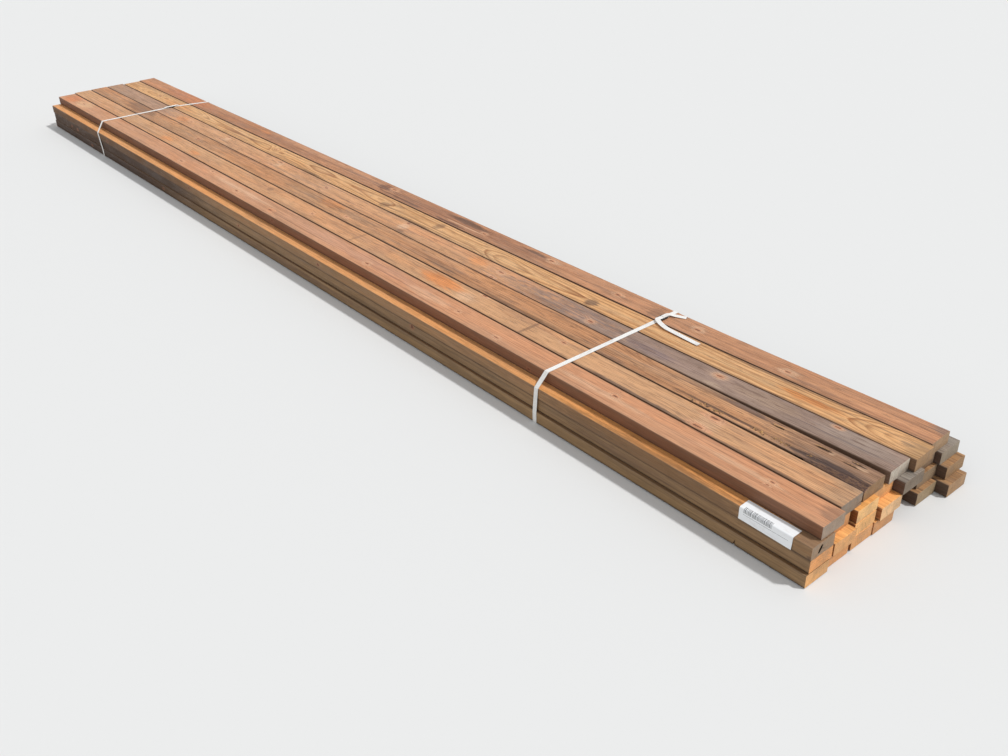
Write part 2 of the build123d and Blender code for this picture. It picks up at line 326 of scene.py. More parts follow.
def side_parts(w, given):
    """Which side of a board a point is on, and its painted shade, from its place in the board."""
    along, across, up = w.split(given["Place"])
    from_side = w.math("MINIMUM", across, w.minus(BOARD_WIDTH, across))
    from_end = w.math("MINIMUM", w.times(along, -1.0), w.plus(along, BOARD_LENGTH))
    from_face = w.math("MINIMUM", up, w.minus(BOARD_THICKNESS, up))
    soft = w.stretched(given["Place"], (6.0, 1.0, 1.0), 4.0, 0.7)
    reach = w.range(soft, 0.35, 0.7, 0.003, 0.011, False)
    return {
        "Side": w.range(from_side, 0.0008, 0.0028, 1.0, 0.0),
        "End": w.range(from_end, 0.0002, 0.0006, 1.0, 0.0),
        "Arris": w.range(w.math("MAXIMUM", from_side, from_face), 0.0, reach, 1.0, 0.0),
        # Painted shade: a soft dark band at the foot of a board's sides
        "Foot shade": w.range(up, 0.0, 0.012, 1.0, 0.0),
        # Painted shade: a dark line at the bottom of a board's sides, in its joint with the board
        # below
        "Joint shade": w.range(up, 0.0022, 0.0052, 1.0, 0.0),
    }


GROUPS = {
    name: new_group(name, inputs, fill)
    for name, inputs, fill in (
        ("Sawn wood", ("Place", "Pith", "Ring width", "Swirl", "Seed"), wood_parts),
        ("Weathering", ("Place", "Seed"), weather_parts),
        ("Knot", ("Place", "Centre", "Reach"), knot_parts),
        ("Spot", ("Place", "Centre", "Reach"), spot_parts),
        ("Board sides", ("Place",), side_parts),
    )
}

# Woods, as seen on a screen: early and late wood, the warm and the dark of their smears, and the
# side, darkened by weather and dirt and by painted shade, since sides stand in shade. Then how
# strongly the rings, the grey weathering and the dark dashes of raised grain show.
PINK_TAN = dict(
    early=(206, 154, 117), late=(176, 118, 86), warm=(218, 152, 108), dark=(150, 104, 78),
    side=(120, 79, 54), rings=0.45, grey=0.22, dashes=0.25, tone=0.1,
)
LIGHT_TAN = dict(
    early=(217, 168, 124), late=(182, 128, 88), warm=(218, 156, 108), dark=(160, 118, 88),
    side=(112, 82, 60), rings=0.8, grey=0.30, dashes=0.45, tone=0.12,
)
ROUGH_BROWN = dict(
    early=(204, 154, 112), late=(150, 102, 70), warm=(208, 144, 96), dark=(118, 88, 68),
    side=(104, 78, 60), rings=0.7, grey=0.50, dashes=0.60, tone=0.2,
)
TAN_GREY = dict(
    early=(216, 164, 120), late=(178, 124, 88), warm=(222, 156, 110), dark=(150, 114, 94),
    side=(112, 86, 68), rings=0.9, grey=0.40, dashes=0.55, tone=0.18,
)
YELLOW = dict(
    early=(227, 178, 126), late=(170, 116, 72), warm=(226, 168, 110), dark=(150, 116, 88),
    side=(104, 76, 54), rings=1.0, grey=0.28, dashes=0.45, tone=0.12,
)
ROSE = dict(
    early=(200, 146, 108), late=(152, 98, 70), warm=(208, 142, 98), dark=(112, 78, 60),
    side=(92, 64, 50), rings=0.65, grey=0.40, dashes=0.45, tone=0.16,
)
# The last number of the two front woods is painted shade that darkens their sides towards the far
# end
FRONT_EDGE = dict(
    early=(228, 166, 108), late=(198, 132, 82), warm=(232, 160, 96), dark=(182, 128, 84),
    side=(148, 116, 82), rings=0.5, grey=0.12, dashes=0.2, tone=0.1, far_shade=0.80,
)
FRONT_SIDE = dict(
    early=(128, 98, 66), late=(100, 74, 50), warm=(136, 98, 62), dark=(88, 66, 48),
    side=(151, 119, 84), rings=0.4, grey=0.12, dashes=0.2, tone=0.14, far_shade=0.95,
)
FRESH = dict(
    early=(252, 188, 118), late=(222, 146, 82), warm=(252, 180, 104), dark=(222, 160, 98),
    side=(150, 84, 44), rings=0.8, grey=0.06, dashes=0.15, tone=0.08,
)
GREYED = dict(
    early=(152, 142, 130), late=(108, 98, 90), warm=(162, 146, 128), dark=(100, 92, 88),
    side=(80, 56, 44), rings=0.7, grey=0.5, dashes=0.5, tone=0.14,
)
BROWNED = dict(
    early=(178, 136, 94), late=(122, 88, 58), warm=(184, 134, 86), dark=(108, 84, 66),
    side=(62, 46, 38), rings=0.9, grey=0.4, dashes=0.4, tone=0.14,
)

STAIN = (108, 82, 66)
RUST = (208, 110, 58)
ORANGE = (240, 150, 80)
# Pale wood, and along the first top board a painted highlight, its sheen
PALE_WOOD_AND_SHEEN = (236, 196, 160)
GREY_WOOD = (148, 130, 120)
WANE = (72, 54, 48)
# Near black painted into the splits: painted shade, the shade inside them
CREVICE_SHADE = (34, 24, 20)
BARK = (84, 62, 56)


class Look(NamedTuple):
    """A board's wood, the colour of its sawn end, where its pith ran (across and up, in metres),
    the width of its growth rings in metres, its knots, its stains and its painted light and shade."""

    wood: dict
    end: tuple
    pith: tuple
    ring: float
    knots: tuple = ()
    spots: tuple = ()


# How deep a mark reaches from the upper face and from the front edge, the middle of a board's
# section, and a reach well past its sides, in metres
TOP_DEPTH = 0.08
FRONT_DEPTH = 0.03
SECTION_MIDDLE = (0.045, 0.02)
PAST_SECTION = (0.4, 0.4)


def on_top(*rows):
    """Marks on a board's upper face, each with its centre and its reach.

    A row holds a mark's place along and across, its half length and its half width in mm, and for
    a stain, or a spot of painted light or shade, its colour and strength as well."""
    marks = []
    for along, across, length, width, *paint in rows:
        centre = (along / 1000, across / 1000, BOARD_THICKNESS)
        marks.append((centre, (length / 1000, width / 1000, TOP_DEPTH), *paint))
    return tuple(marks)


def on_front(*rows):
    """Marks on a board's front edge: place along and up, half length and half height in mm."""
    marks = []
    for along, up, length, height, *paint in rows:
        centre = (along / 1000, 0.0, up / 1000)
        marks.append((centre, (length / 1000, FRONT_DEPTH, height / 1000), *paint))
    return tuple(marks)


def all_round(along, length, *paint):
    """A change that goes round the whole board: its place along it and its half length in mm."""
    return (((along / 1000, *SECTION_MIDDLE), (length / 1000, *PAST_SECTION), *paint),)


# Places along a board are counted from its near end, so they are below zero
LOOKS = {
    "top_board_1": Look(
        PINK_TAN, (165, 151, 134), (0.17, -0.05), 0.0052,
        knots=on_top(
            (-4636, 50, 18, 10), (-3396, 30, 20, 11), (-3166, 70, 14, 8), (-2876, 35, 18, 10),
            (-2586, 32, 22, 13), (-1896, 33, 18, 11), (-1390, 45, 12, 8), (-1176, 24, 16, 9),
            (-702, 52, 17, 11), (-179, 53, 13, 9), (-181, 36, 9, 6),
        ) + on_front(
            (-1000, 12, 13, 7), (-2520, 22, 14, 8), (-3900, 18, 14, 8),
        ),
        spots=on_top(
            (-4780, 45, 70, 60, (216, 128, 76), 0.5), (-4620, 50, 90, 40, (230, 190, 146), 0.6),
            # The long narrow pale streaks are painted highlight, the sheen along the board
            (-2585, 32, 35, 18, (234, 140, 78), 0.6), (-2850, 52, 300, 13, PALE_WOOD_AND_SHEEN, 0.4),
            (-1550, 40, 130, 22, PALE_WOOD_AND_SHEEN, 0.4), (-750, 40, 190, 12, PALE_WOOD_AND_SHEEN, 0.38),
            (-270, 46, 130, 11, PALE_WOOD_AND_SHEEN, 0.40), (-2000, 50, 500, 30, (200, 152, 130), 0.3),
            (0, 60, 50, 40, (150, 116, 94), 0.6),
        ),
    ),
    "top_board_2": Look(
        LIGHT_TAN, (138, 130, 118), (-0.16, -0.02), 0.0054,
        knots=on_top(
            (-2420, 40, 13, 8), (-1400, 83, 18, 10), (-1000, 60, 15, 10), (-433, 74, 26, 15),
            (-440, 12, 28, 13),
        ),
        spots=on_top(
            (-1590, 50, 125, 36, ORANGE, 0.75), (-1440, 30, 50, 30, PALE_WOOD_AND_SHEEN, 0.5),
            (-1140, 45, 8, 60, STAIN, 0.5), (-2100, 45, 10, 60, STAIN, 0.3),
            (-1950, 45, 60, 60, (176, 132, 106), 0.35), (-2780, 55, 25, 14, STAIN, 0.45),
            (-3440, 30, 50, 20, ORANGE, 0.5), (-3740, 30, 60, 20, ORANGE, 0.4),
            (-430, 45, 40, 45, PALE_WOOD_AND_SHEEN, 0.35), (-435, 74, 50, 20, (232, 160, 118), 0.6),
            (-442, 12, 50, 16, (238, 168, 126), 0.7), (-680, 3, 240, 8, (92, 76, 68), 0.75),
            (-200, 3, 200, 5, (104, 86, 74), 0.6),
        ) + all_round(0, 70, (176, 146, 116), 0.5),
    ),
    "top_board_3": Look(
        ROUGH_BROWN, (146, 117, 84), (0.10, -0.03), 0.0040,
        knots=on_top(
            (-3625, 45, 28, 13), (-2300, 30, 14, 8),
        ),
        spots=on_top(
            (-4310, 55, 200, 45, STAIN, 0.5), (-2450, 60, 90, 30, ORANGE, 0.4),
            (-1250, 8, 220, 8, (96, 70, 52), 0.6), (-400, 78, 100, 13, (112, 90, 82), 0.8),
            (-440, 18, 170, 6, (84, 62, 52), 0.8),
        ) + all_round(-20, 300, (124, 98, 82), 0.6) + on_top(
            (-90, 25, 100, 13, WANE, 0.95), (-165, 16, 70, 7, WANE, 0.9),
            (-136, 68, 10, 6, PALE_WOOD_AND_SHEEN, 0.5), (-50, 66, 22, 9, PALE_WOOD_AND_SHEEN, 0.45),
            # Painted shade: near black laid into the splits cut in this board
            (-163, 70.5, 32, 4.2, CREVICE_SHADE, 1.0), (-295, 68, 24, 3.4, CREVICE_SHADE, 0.9),
            (-62, 74, 24, 4, CREVICE_SHADE, 0.8), (-72, 59, 34, 2.6, CREVICE_SHADE, 0.8),
        ),
    ),
    "top_board_4": Look(
        TAN_GREY, (194, 187, 172), (-0.09, -0.05), 0.0046,
        knots=on_top(
            (-3910, 50, 15, 8), (-3550, 72, 16, 10), (-3560, 30, 14, 9), (-3050, 72, 18, 10),
            (-3060, 28, 14, 9), (-2630, 50, 19, 11), (-2080, 75, 17, 10), (-1505, 55, 19, 11),
            (-1500, 8, 16, 9), (-1045, 30, 19, 12), (-565, 63, 20, 12), (-195, 77, 17, 8),
        ),
        spots=on_top(
            (-300, 45, 1150, 400, GREY_WOOD, 0.85), (-4500, 45, 460, 200, GREY_WOOD, 0.5),
            (-3990, 45, 60, 30, ORANGE, 0.4), (-3530, 50, 20, 25, PALE_WOOD_AND_SHEEN, 0.5),
            (-3030, 50, 20, 25, PALE_WOOD_AND_SHEEN, 0.5), (-2070, 45, 30, 26, PALE_WOOD_AND_SHEEN, 0.7),
            (-2045, 16, 25, 10, STAIN, 0.5), (-1630, 55, 50, 30, ORANGE, 0.4),
            (-120, 55, 140, 35, (176, 160, 146), 0.45), (-400, 50, 130, 30, (178, 150, 124), 0.5),
            (-565, 63, 45, 22, (190, 160, 138), 0.6), (-550, 12, 30, 12, (190, 164, 140), 0.5),
            (-800, 30, 100, 20, (120, 104, 106), 0.5), (-460, 60, 70, 4, (104, 78, 66), 0.6),
        ),
    ),
    "top_board_5": Look(
        YELLOW, (156, 126, 92), (0.047, -0.040), 0.0040,
        knots=on_top(
            (-4494, 45, 15, 9), (-3240, 55, 14, 8),
        ),
        spots=on_top(
            (-2320, 30, 30, 22, STAIN, 0.5), (-2260, 60, 40, 10, STAIN, 0.4),
            (-1990, 50, 25, 32, STAIN, 0.55), (-1147, 30, 28, 24, STAIN, 0.75),
            (-2850, 6, 100, 6, (76, 54, 42), 0.6), (-2100, 4, 140, 6, (76, 54, 42), 0.6),
            (-4250, 40, 200, 30, ORANGE, 0.3), (-333, 43, 120, 14, (224, 148, 84), 0.95),
            (-50, 45, 20, 12, (128, 108, 90), 0.5), (-400, 85, 300, 10, STAIN, 0.4),
        ) + all_round(0, 50, (150, 120, 84), 0.5),
    ),
    "top_board_6": Look(
        ROSE, (169, 141, 109), (0.20, -0.04), 0.0050,
        knots=on_top(
            (-2420, 60, 22, 14), (-1810, 40, 16, 10), (-1460, 60, 20, 13), (-1120, 40, 20, 13),
            (-790, 45, 19, 12), (-455, 35, 18, 11),
        ),
        spots=on_top(
            (-1950, 45, 600, 50, (146, 102, 78), 0.5), (-3600, 30, 800, 30, (160, 110, 78), 0.5),
            (-4300, 45, 300, 50, RUST, 0.3), (-3500, 55, 50, 20, ORANGE, 0.45),
            (-2470, 50, 40, 30, (120, 72, 48), 0.7), (-1930, 60, 140, 18, (104, 76, 60), 0.8),
            (-2300, 20, 150, 7, (96, 66, 52), 0.7), (-1980, 12, 110, 8, (90, 62, 50), 0.7),
            (-1550, 64, 90, 7, (92, 66, 52), 0.8), (-1930, 28, 120, 5, PALE_WOOD_AND_SHEEN, 0.5),
            (-1450, 60, 40, 15, PALE_WOOD_AND_SHEEN, 0.4), (-790, 50, 30, 20, PALE_WOOD_AND_SHEEN, 0.45),
            (-450, 35, 40, 20, PALE_WOOD_AND_SHEEN, 0.5), (-200, 40, 220, 20, (222, 162, 118), 0.5),
            (-950, 40, 30, 40, STAIN, 0.45), (0, 80, 50, 30, (140, 122, 110), 0.7),
        ),
    ),
    "second_board_1": Look(
        FRONT_EDGE, (150, 132, 110), (0.07, -0.02), 0.0040,
        knots=on_front(
            (-2120, 20, 14, 8), (-4110, 18, 16, 9), (-3190, 24, 14, 8),
        ),
        # Painted light: bright orange on the ledge by the near end, its wood's hue with painted
        # sunlight
        spots=on_top((-500, 20, 450, 60, (244, 168, 92), 0.6))
        + on_front((-500, 20, 400, 40, (108, 82, 58), 0.55))
        + all_round(0, 100, (132, 108, 84), 0.85) + on_front((0, 6, 12, 9, BARK, 0.5)),
    ),
    "third_board_1": Look(
        FRONT_SIDE, (250, 174, 106), (0.03, -0.07), 0.0036,
        knots=on_front(
            (-1540, 30, 14, 12), (-4540, 18, 16, 9), (-4620, 20, 12, 8), (-2750, 20, 14, 8),
        ),
        spots=on_front(
            (-600, 20, 220, 12, STAIN, 0.35), (-3600, 20, 500, 30, (70, 54, 44), 0.6),
        ),
    ),
    "bottom_board_1": Look(
        dict(FRONT_SIDE, side=(158, 126, 88)), (250, 188, 122), (0.09, -0.09), 0.0042,
        knots=on_front(
            (-4350, 18, 14, 8), (-3480, 20, 14, 8),
        ),
        spots=on_front(
            (-2400, 20, 700, 14, STAIN, 0.5), (-4300, 20, 600, 30, (70, 54, 44), 0.6),
        ),
    ),
    "second_board_2": Look(FRESH, (214, 158, 106), (0.05, 0.10), 0.0040),
    "second_board_3": Look(
        dict(FRESH, early=(248, 176, 96), side=(118, 62, 28)), (255, 205, 138),
        (0.06, 0.02), 0.0042, knots=on_front((-2, 12, 3, 5)),
    ),
    "second_board_4": Look(FRESH, (248, 186, 122), (0.10, -0.05), 0.0040),
    "second_board_5": Look(GREYED, (132, 116, 98), (0.02, -0.06), 0.0036),
    "second_board_6": Look(BROWNED, (160, 136, 112), (0.08, 0.09), 0.0040),
    "second_board_7": Look(GREYED, (158, 146, 128), (0.11, 0.0), 0.0038),
    "third_board_2": Look(FRESH, (246, 184, 120), (0.045, -0.03), 0.0044),
    "third_board_3": Look(FRESH, (255, 196, 126), (0.0, 0.08), 0.0040),
    "third_board_4": Look(FRESH, (248, 204, 152), (0.07, -0.08), 0.0048),
    "third_board_5": Look(BROWNED, (154, 116, 84), (0.02, -0.05), 0.0040),
    "third_board_6": Look(BROWNED, (154, 132, 106), (0.045, -0.02), 0.0046),
    "third_board_7": Look(BROWNED, (166, 132, 94), (0.05, -0.03), 0.0050),
    "bottom_board_2": Look(FRESH, (222, 160, 104), (0.10, 0.05), 0.0038),
    "bottom_board_3": Look(FRESH, (226, 168, 112), (0.0, -0.05), 0.0040),
    "bottom_board_4": Look(FRESH, (216, 158, 106), (0.08, 0.11), 0.0044),
    "bottom_board_5": Look(BROWNED, (172, 140, 104), (0.03, -0.04), 0.0036),
    "bottom_board_6": Look(BROWNED, (168, 146, 114), (0.05, -0.06), 0.0042),
    "bottom_board_7": Look(BROWNED, (180, 142, 102), (0.09, 0.02), 0.0040),
}


def seed_of(node):
    """A number of its own for each board, which shifts its grain."""
    return 1.0 + sorted(LOOKS).index(node)


def knots_in(w, place, marks):
    """The masks of all the knots on a board, put together."""
    found = dict.fromkeys(("Swirl", "Core", "Rim", "Halo", "Eye"), 0.0)
    for centre, reach in marks:
        knot = w.place("Knot", Place=place, Centre=centre, Reach=reach)
        for part, value in found.items():
            found[part] = w.math("ADD" if part == "Swirl" else "MAXIMUM", knot[part], value)
    return found


def board_material(node):
    """One board's wood: rings, fibres, knots, stains, sides of dirt and painted shade, sawn ends.
    """
    look = LOOKS[node]
    wood = look.wood
    light_wood = tint(*wood["early"])
    material, w = new_material(node)
    place = w.attribute("board_place")
    hewn = w.range(w.attribute("hewn", "Fac"), 0.05, 0.5)
    knots = knots_in(w, place, look.knots)
    rings = w.place(
        "Sawn wood", Place=place, Pith=(0.0, *look.pith), Ring_width=look.ring,
        Swirl=knots["Swirl"], Seed=seed_of(node),
    )
    weather = w.place("Weathering", Place=place, Seed=seed_of(node))
    sides = w.place("Board sides", Place=place)
    late, streak, grey = rings["Late wood"], rings["Streak"], weather["Grey"]

    def stains(spots):
        """A layer of colour for each spot: a stain, painted highlight or painted shade."""
        return [
            (w.place("Spot", Place=place, Centre=centre, Reach=reach)["Mask"], strength, colour)
            for centre, reach, colour, strength in spots
        ]

    def darkened(colour, mask, strength, over):
        """Multiplies by the colour that turns this board's light wood into the one given."""
        ratio = [min(1.0, b / a) for a, b in zip(light_wood[:3], tint(*over))]
        return w.mix(w.times(mask, strength), colour, (*ratio, 1.0), "MULTIPLY")

    face = w.laid(
        light_wood,
        (w.range(rings["Broad"], 0.40, 0.66), 0.6, wood["warm"]),
        *stains(look.spots),
        (grey, wood["grey"], (132, 114, 102)),
        (knots["Halo"], 0.55, (230, 184, 146)),
    )
    face = darkened(face, late, wood["rings"], wood["late"])
    face = darkened(face, w.range(streak, 0.50, 0.70), 0.75, wood["dark"])
    # Painted shade: the sides darken towards the far end, the front boards' most
    far_shade = w.range(w.split(place)[0], -3.7, -2.7, wood.get("far_shade", 0.25), 0.0)
    # Painted shade: a side's colour is its dirt and weather, with the shade it stands in painted on
    side = w.laid(
        tint(*wood["side"]),
        (w.range(streak, 0.44, 0.66), 0.40, wood["dark"]),
        (late, wood["rings"] * 0.22, (74, 56, 44)),
        (grey, 0.40, (92, 80, 66)),
        # Painted shade at the foot of the side
        (sides["Foot shade"], 0.25, (48, 38, 32)),
        # Painted shade in the joint with the board below
        (sides["Joint shade"], 0.85, (28, 20, 17)),
        # Painted shade towards the far end
        (far_shade, 1.0, (60, 37, 21)),
        *stains([spot for spot in look.spots if spot[0][1] == 0.0]),
    )
    end = w.laid(
        tint(*look.end),
        (late, 0.6, wood["late"]),
        (w.range(rings["Broad"], 0.45, 0.65), 0.3, (150, 122, 96)),
        (w.range(weather["Saw"], 0.52, 0.72), 0.30, (112, 88, 68)),
        (grey, 0.30, (120, 108, 98)),
        (rings["Checks"], 0.7, (70, 50, 38)),
    )
    crust = w.stretched(place, (90.0, 300.0, 300.0), 5.0, 0.7)
    bark = w.laid(
        tint(*BARK),
        (w.range(crust, 0.40, 0.64), 1.0, (126, 94, 70)),
        (w.range(streak, 0.45, 0.65), 0.6, (52, 40, 38)),
    )
    colour = w.laid(
        face,
        (sides["Side"], 0.92, side),
        (sides["Arris"], 0.30, (112, 94, 80)),
        (knots["Core"], 0.60, (200, 132, 92)),
        (knots["Rim"], 0.50, (156, 94, 64)),
        (knots["Eye"], 0.80, (92, 52, 38)),
        (weather["Dashes"], wood["dashes"], (110, 80, 60)),
        (weather["Specks"], 0.45, (80, 62, 52)),
        (sides["End"], 1.0, end),
        (hewn, 1.0, bark),
    )
    grain = w.times(
        w.range(rings["Fibre"], 0.25, 0.75, 0.68, 1.20, False),
        w.plus(w.times(rings["Tone"], wood["tone"]), 1.0),
    )
    height = rings["Fibre"]
    for part, share in (
        (late, 0.4), (knots["Rim"], -1.2), (rings["Checks"], -1.0), (w.times(crust, hewn), 4.0),
        (w.times(weather["Saw"], sides["End"]), 0.8), (weather["Dashes"], -1.0),
    ):
        height = w.plus(height, w.times(part, share))
    w.surface(
        Base_Color=w.mix(1.0, colour, w.join(grain, grain, grain), "MULTIPLY"),
        Roughness=w.range(weather["Film"], 0.0, 1.0, 0.5, 0.85, False),
        Specular_IOR_Level=0.3,
        Normal=w.bump(height, 0.6, 0.0008),
    )
    return material


# How close in x a part of a board lies to the tip of its end, to count as part of that end
END_BAND = 0.003
END_FACE = 0.002

# How close in z a corner lies to the level where a board's edge rounding starts
LEVEL_BAND = 2e-4

# Corners of the CAD mesh this close are one, faces this flat are one, and a cut this close to a
# corner goes through it
MERGE_REACH = 1e-5
FLAT_ANGLE = math.radians(0.5)
CUT_REACH = 1e-6


def side_line(node, back=False):
    """The upright front or back of a board, as (x, y) from its far end on."""
    corners = [v.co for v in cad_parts[node].data.vertices]
    mark_level = min(corner.z for corner in corners) + EDGE_RADIUS
    marks = {
        (round(corner.x, 6), round(corner.y, 6))
        for corner in corners if abs(corner.z - mark_level) < LEVEL_BAND
    }
    middle = min(y for _, y in marks) + BOARD_WIDTH / 2
    return sorted(mark for mark in marks if (mark[1] > middle) == back)


def cad_copy(node):
    """The merged mesh of a CAD node, its long flat faces made whole."""
    mesh = bmesh.new()
    mesh.from_mesh(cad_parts[node].data)
    bmesh.ops.remove_doubles(mesh, verts=mesh.verts, dist=MERGE_REACH)
    limits = [pick(v.co.x for v in mesh.verts) for pick in (min, max)]
    lengthwise = [
        e for e in mesh.edges
        if not any(all(abs(v.co.x - limit) < END_FACE for v in e.verts) for limit in limits)
    ]
    bmesh.ops.dissolve_limit(
        mesh, angle_limit=FLAT_ANGLE, verts=[], edges=lengthwise, delimit=set()
    )
    return mesh


def front_at(line, x):
    """Where the front is at x, between the two marks on either side."""
    for (x0, y0), (x1, y1) in zip(line, line[1:]):
        if x <= x1 or (x1, y1) == line[-1]:
            return y0 + (y1 - y0) * (x - x0) / (x1 - x0)


def finish_piece(mesh, name, node, material):
    """Makes a piece of a bmesh, which stands for a CAD node and rides on the stack."""
    data = bpy.data.meshes.new(name)
    mesh.to_mesh(data)
    mesh.free()
    data.materials.append(material)
    piece = bpy.data.objects.new(name, data)
    bpy.context.scene.collection.objects.link(piece)
    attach(piece, "root")
    if node:
        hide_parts(node)
    return piece


def cut_across(mesh, axis, places, faces=None):
    """Cuts the mesh, or some of its faces, square to an axis at each of the places."""
    normal = [0.0, 0.0, 0.0]
    normal[axis] = 1.0
    for place in places:
        point = [0.0, 0.0, 0.0]
        point[axis] = place
        chosen = mesh.faces[:] if faces is None else [f for f in mesh.faces if faces(f)]
        edges = dict.fromkeys(e for f in chosen for e in f.edges)
        verts = dict.fromkeys(v for f in chosen for v in f.verts)
        bmesh.ops.bisect_plane(
            mesh, geom=[*verts, *edges, *chosen], plane_co=point, plane_no=normal, dist=CUT_REACH
        )


def steps(first, last, pitch):
    """Places at an even pitch between two ends, neither of them included."""
    count = max(1, round((last - first) / pitch))
    return [first + (last - first) * number / count for number in range(1, count)]


# Splits in the third top board: from, to (along and across) and depth, in metres
SPLITS = (
    ((-0.189, 0.0695), (-0.137, 0.0715), 0.0060),
    ((-0.314, 0.0672), (-0.276, 0.0688), 0.0040),
    ((-0.105, 0.0580), (-0.035, 0.0600), 0.0026),
    ((-0.084, 0.0735), (-0.040, 0.0745), 0.0024),
)
SPLIT_HALF_WIDTH = 0.0020
SPLIT_TAPER = 0.7

# That board's fine cuts. Counted from its front: the wane's width, where its cuts begin and end,
# and where the splits' cuts end. Then how far back from its near end the splits' cuts go, the
# pitches of the cuts (across and along), and the least upward tilt of the faces that take them.
WANE_WIDTH = 0.045
WANE_CUTS = (-0.002, 0.046)
SPLIT_CUTS_END = 0.080
SPLIT_REACH = 0.36
WANE_PITCHES = (0.003, 0.006)
SPLIT_PITCHES = (0.0008, 0.004)
WANE_TILT = 0.05
UPWARD = 0.9

# How far from its near end a turned board's slant fades out
SLANT_REACH = 0.5

# Middle of the knot hole in the second row's front board (across and up), and the reach round it
# where the end's edges stay as they are
KNOT_HOLE_PLACE = (0.034, 0.019)
KNOT_HOLE_RIM = 0.0125

# The bevel of the boards' ends, and the pitch of the cuts along the top boards and the lower ones
END_BEVEL = 0.0007
TOP_PITCH = 0.03
LOWER_PITCH = 0.05

# Half the depth of the waves in the boards' faces. Where a face lies deeper than HEWN_FROM inside
# the sawn section it is hewn or torn, fully so at HEWN_FULLY. There it is rougher: by how much, how
# much of that it sinks evenly, and the fractal's fading, its fineness and its octaves.
SURFACE_WAVE = 0.00025
HEWN_FROM = 0.0004
HEWN_FULLY = 0.003
HEWN_ROUGHNESS = 0.0011
HEWN_SINK = 0.3
HEWN_FRACTAL = (0.6, 2.0, 4)


def split_depth(along, across):
    """How deep the splits are at a place on the board."""
    deepest = 0.0
    for (a0, c0), (a1, c1), depth in SPLITS:
        share = (along - a0) / (a1 - a0)
        if 0.0 < share < 1.0:
            away = abs(across - c0 - (c1 - c0) * share) / SPLIT_HALF_WIDTH
            taper = math.sin(math.pi * share) ** SPLIT_TAPER
            if away < 1.0:
                deepest = max(deepest, depth * taper * (1.0 - away))
    return deepest


def section_depth(place):
    """How far a place lies inside the full rounded section of a board."""
    across = min(place.y, BOARD_WIDTH - place.y)
    up = min(place.z, BOARD_THICKNESS - place.z)
    if across < EDGE_RADIUS and up < EDGE_RADIUS:
        return EDGE_RADIUS - math.hypot(EDGE_RADIUS - across, EDGE_RADIUS - up)
    return min(across, up)


def cut_finely(mesh, front, near_end):
    """Cuts the third top board finely at its wane, and behind that at its splits."""

    def in_wane(face):
        middle = face.calc_center_median()
        inside = middle.y < front + WANE_WIDTH and middle.x > near_end - WANE_REACH
        return inside and face.normal.z > WANE_TILT

    def in_split(face):
        middle = face.calc_center_median()
        inside = middle.y > front + WANE_WIDTH and middle.x > near_end - SPLIT_REACH
        return inside and face.normal.z > UPWARD

    begin, change, end = (front + cut for cut in (*WANE_CUTS, SPLIT_CUTS_END))
    for chosen, first, last, reach, (across, along) in (
        (in_wane, begin, change, WANE_REACH, WANE_PITCHES),
        (in_split, change, end, SPLIT_REACH, SPLIT_PITCHES),
    ):
        cut_across(mesh, 1, steps(first, last, across), chosen)
        cut_across(mesh, 0, steps(near_end - reach, near_end, along), chosen)


def dress_board(node):
    """A board of its own wood, cut into short lengths, its arrises dented and its ends eased."""
    mesh = cad_copy(node)
    line = side_line(node)
    slant = side_line(node, back=True)[-1][0] - line[-1][0]
    low = min(v.co.z for v in mesh.verts)
    near_end = max(v.co.x for v in mesh.verts)
    far_end = min(v.co.x for v in mesh.verts)
    ends = [
        e for e in mesh.edges
        if any(all(abs(v.co.x - end) < END_BAND for v in e.verts) for end in (near_end, far_end))
        and len(e.link_faces) == 2 and e.calc_face_angle(0) > 1.0
    ]
    if node == "second_board_1":
        across, up = KNOT_HOLE_PLACE
        hole = Vector((near_end, line[-1][1] + across, low + up))
        ends = [e for e in ends if (e.verts[0].co - hole).length > KNOT_HOLE_RIM]
    bmesh.ops.bevel(
        mesh, geom=ends, offset=END_BEVEL, segments=1, profile=0.5, affect="EDGES", material=-1
    )
    cut_across(mesh, 0, steps(far_end, near_end, TOP_PITCH if "top" in node else LOWER_PITCH))
    mesh.normal_update()
    if node == "top_board_3":
        cut_finely(mesh, front_at(line, near_end), near_end)
        mesh.normal_update()
    places = mesh.verts.layers.float_vector.new("board_place")
    hewn = mesh.verts.layers.float.new("hewn")
    seed = seed_of(node)
    moves = []
    for vert in mesh.verts:
        x, y, z = vert.co
        place = Vector((x - near_end, y - front_at(line, x), z - low))
        place.x -= slant * place.y / BOARD_WIDTH * max(0.0, 1.0 + place.x / SLANT_REACH)
        vert[places] = place
        wave = noise.noise(Vector((place.x * 9, place.y * 30 + seed * 5, place.z * 30)))
        sink = SURFACE_WAVE * (1 + wave)
        cut = section_depth(place) if END_FACE - BOARD_LENGTH < place.x < -END_FACE else 0.0
        if cut > HEWN_FROM:
            vert[hewn] = min(1.0, cut / HEWN_FULLY)
            rough = noise.fractal(Vector((place.x * 60, place.y * 220, seed)), *HEWN_FRACTAL)
            sink += HEWN_ROUGHNESS * vert[hewn] * (HEWN_SINK + rough)
        if node == "top_board_3" and vert.normal.z > UPWARD:
            sink += split_depth(place.x, place.y)
        moves.append((vert, vert.normal * -sink))
    for vert, move in moves:
        vert.co += move
    return finish_piece(mesh, f"dressed_{node}", node, board_material(node))


# A strap has no corner where the cosine between the run before and the run after is above
# STRAIGHT, and its corners count as the top ones within TOP_BAND of the highest
STRAIGHT = 0.9999
TOP_BAND = 0.004

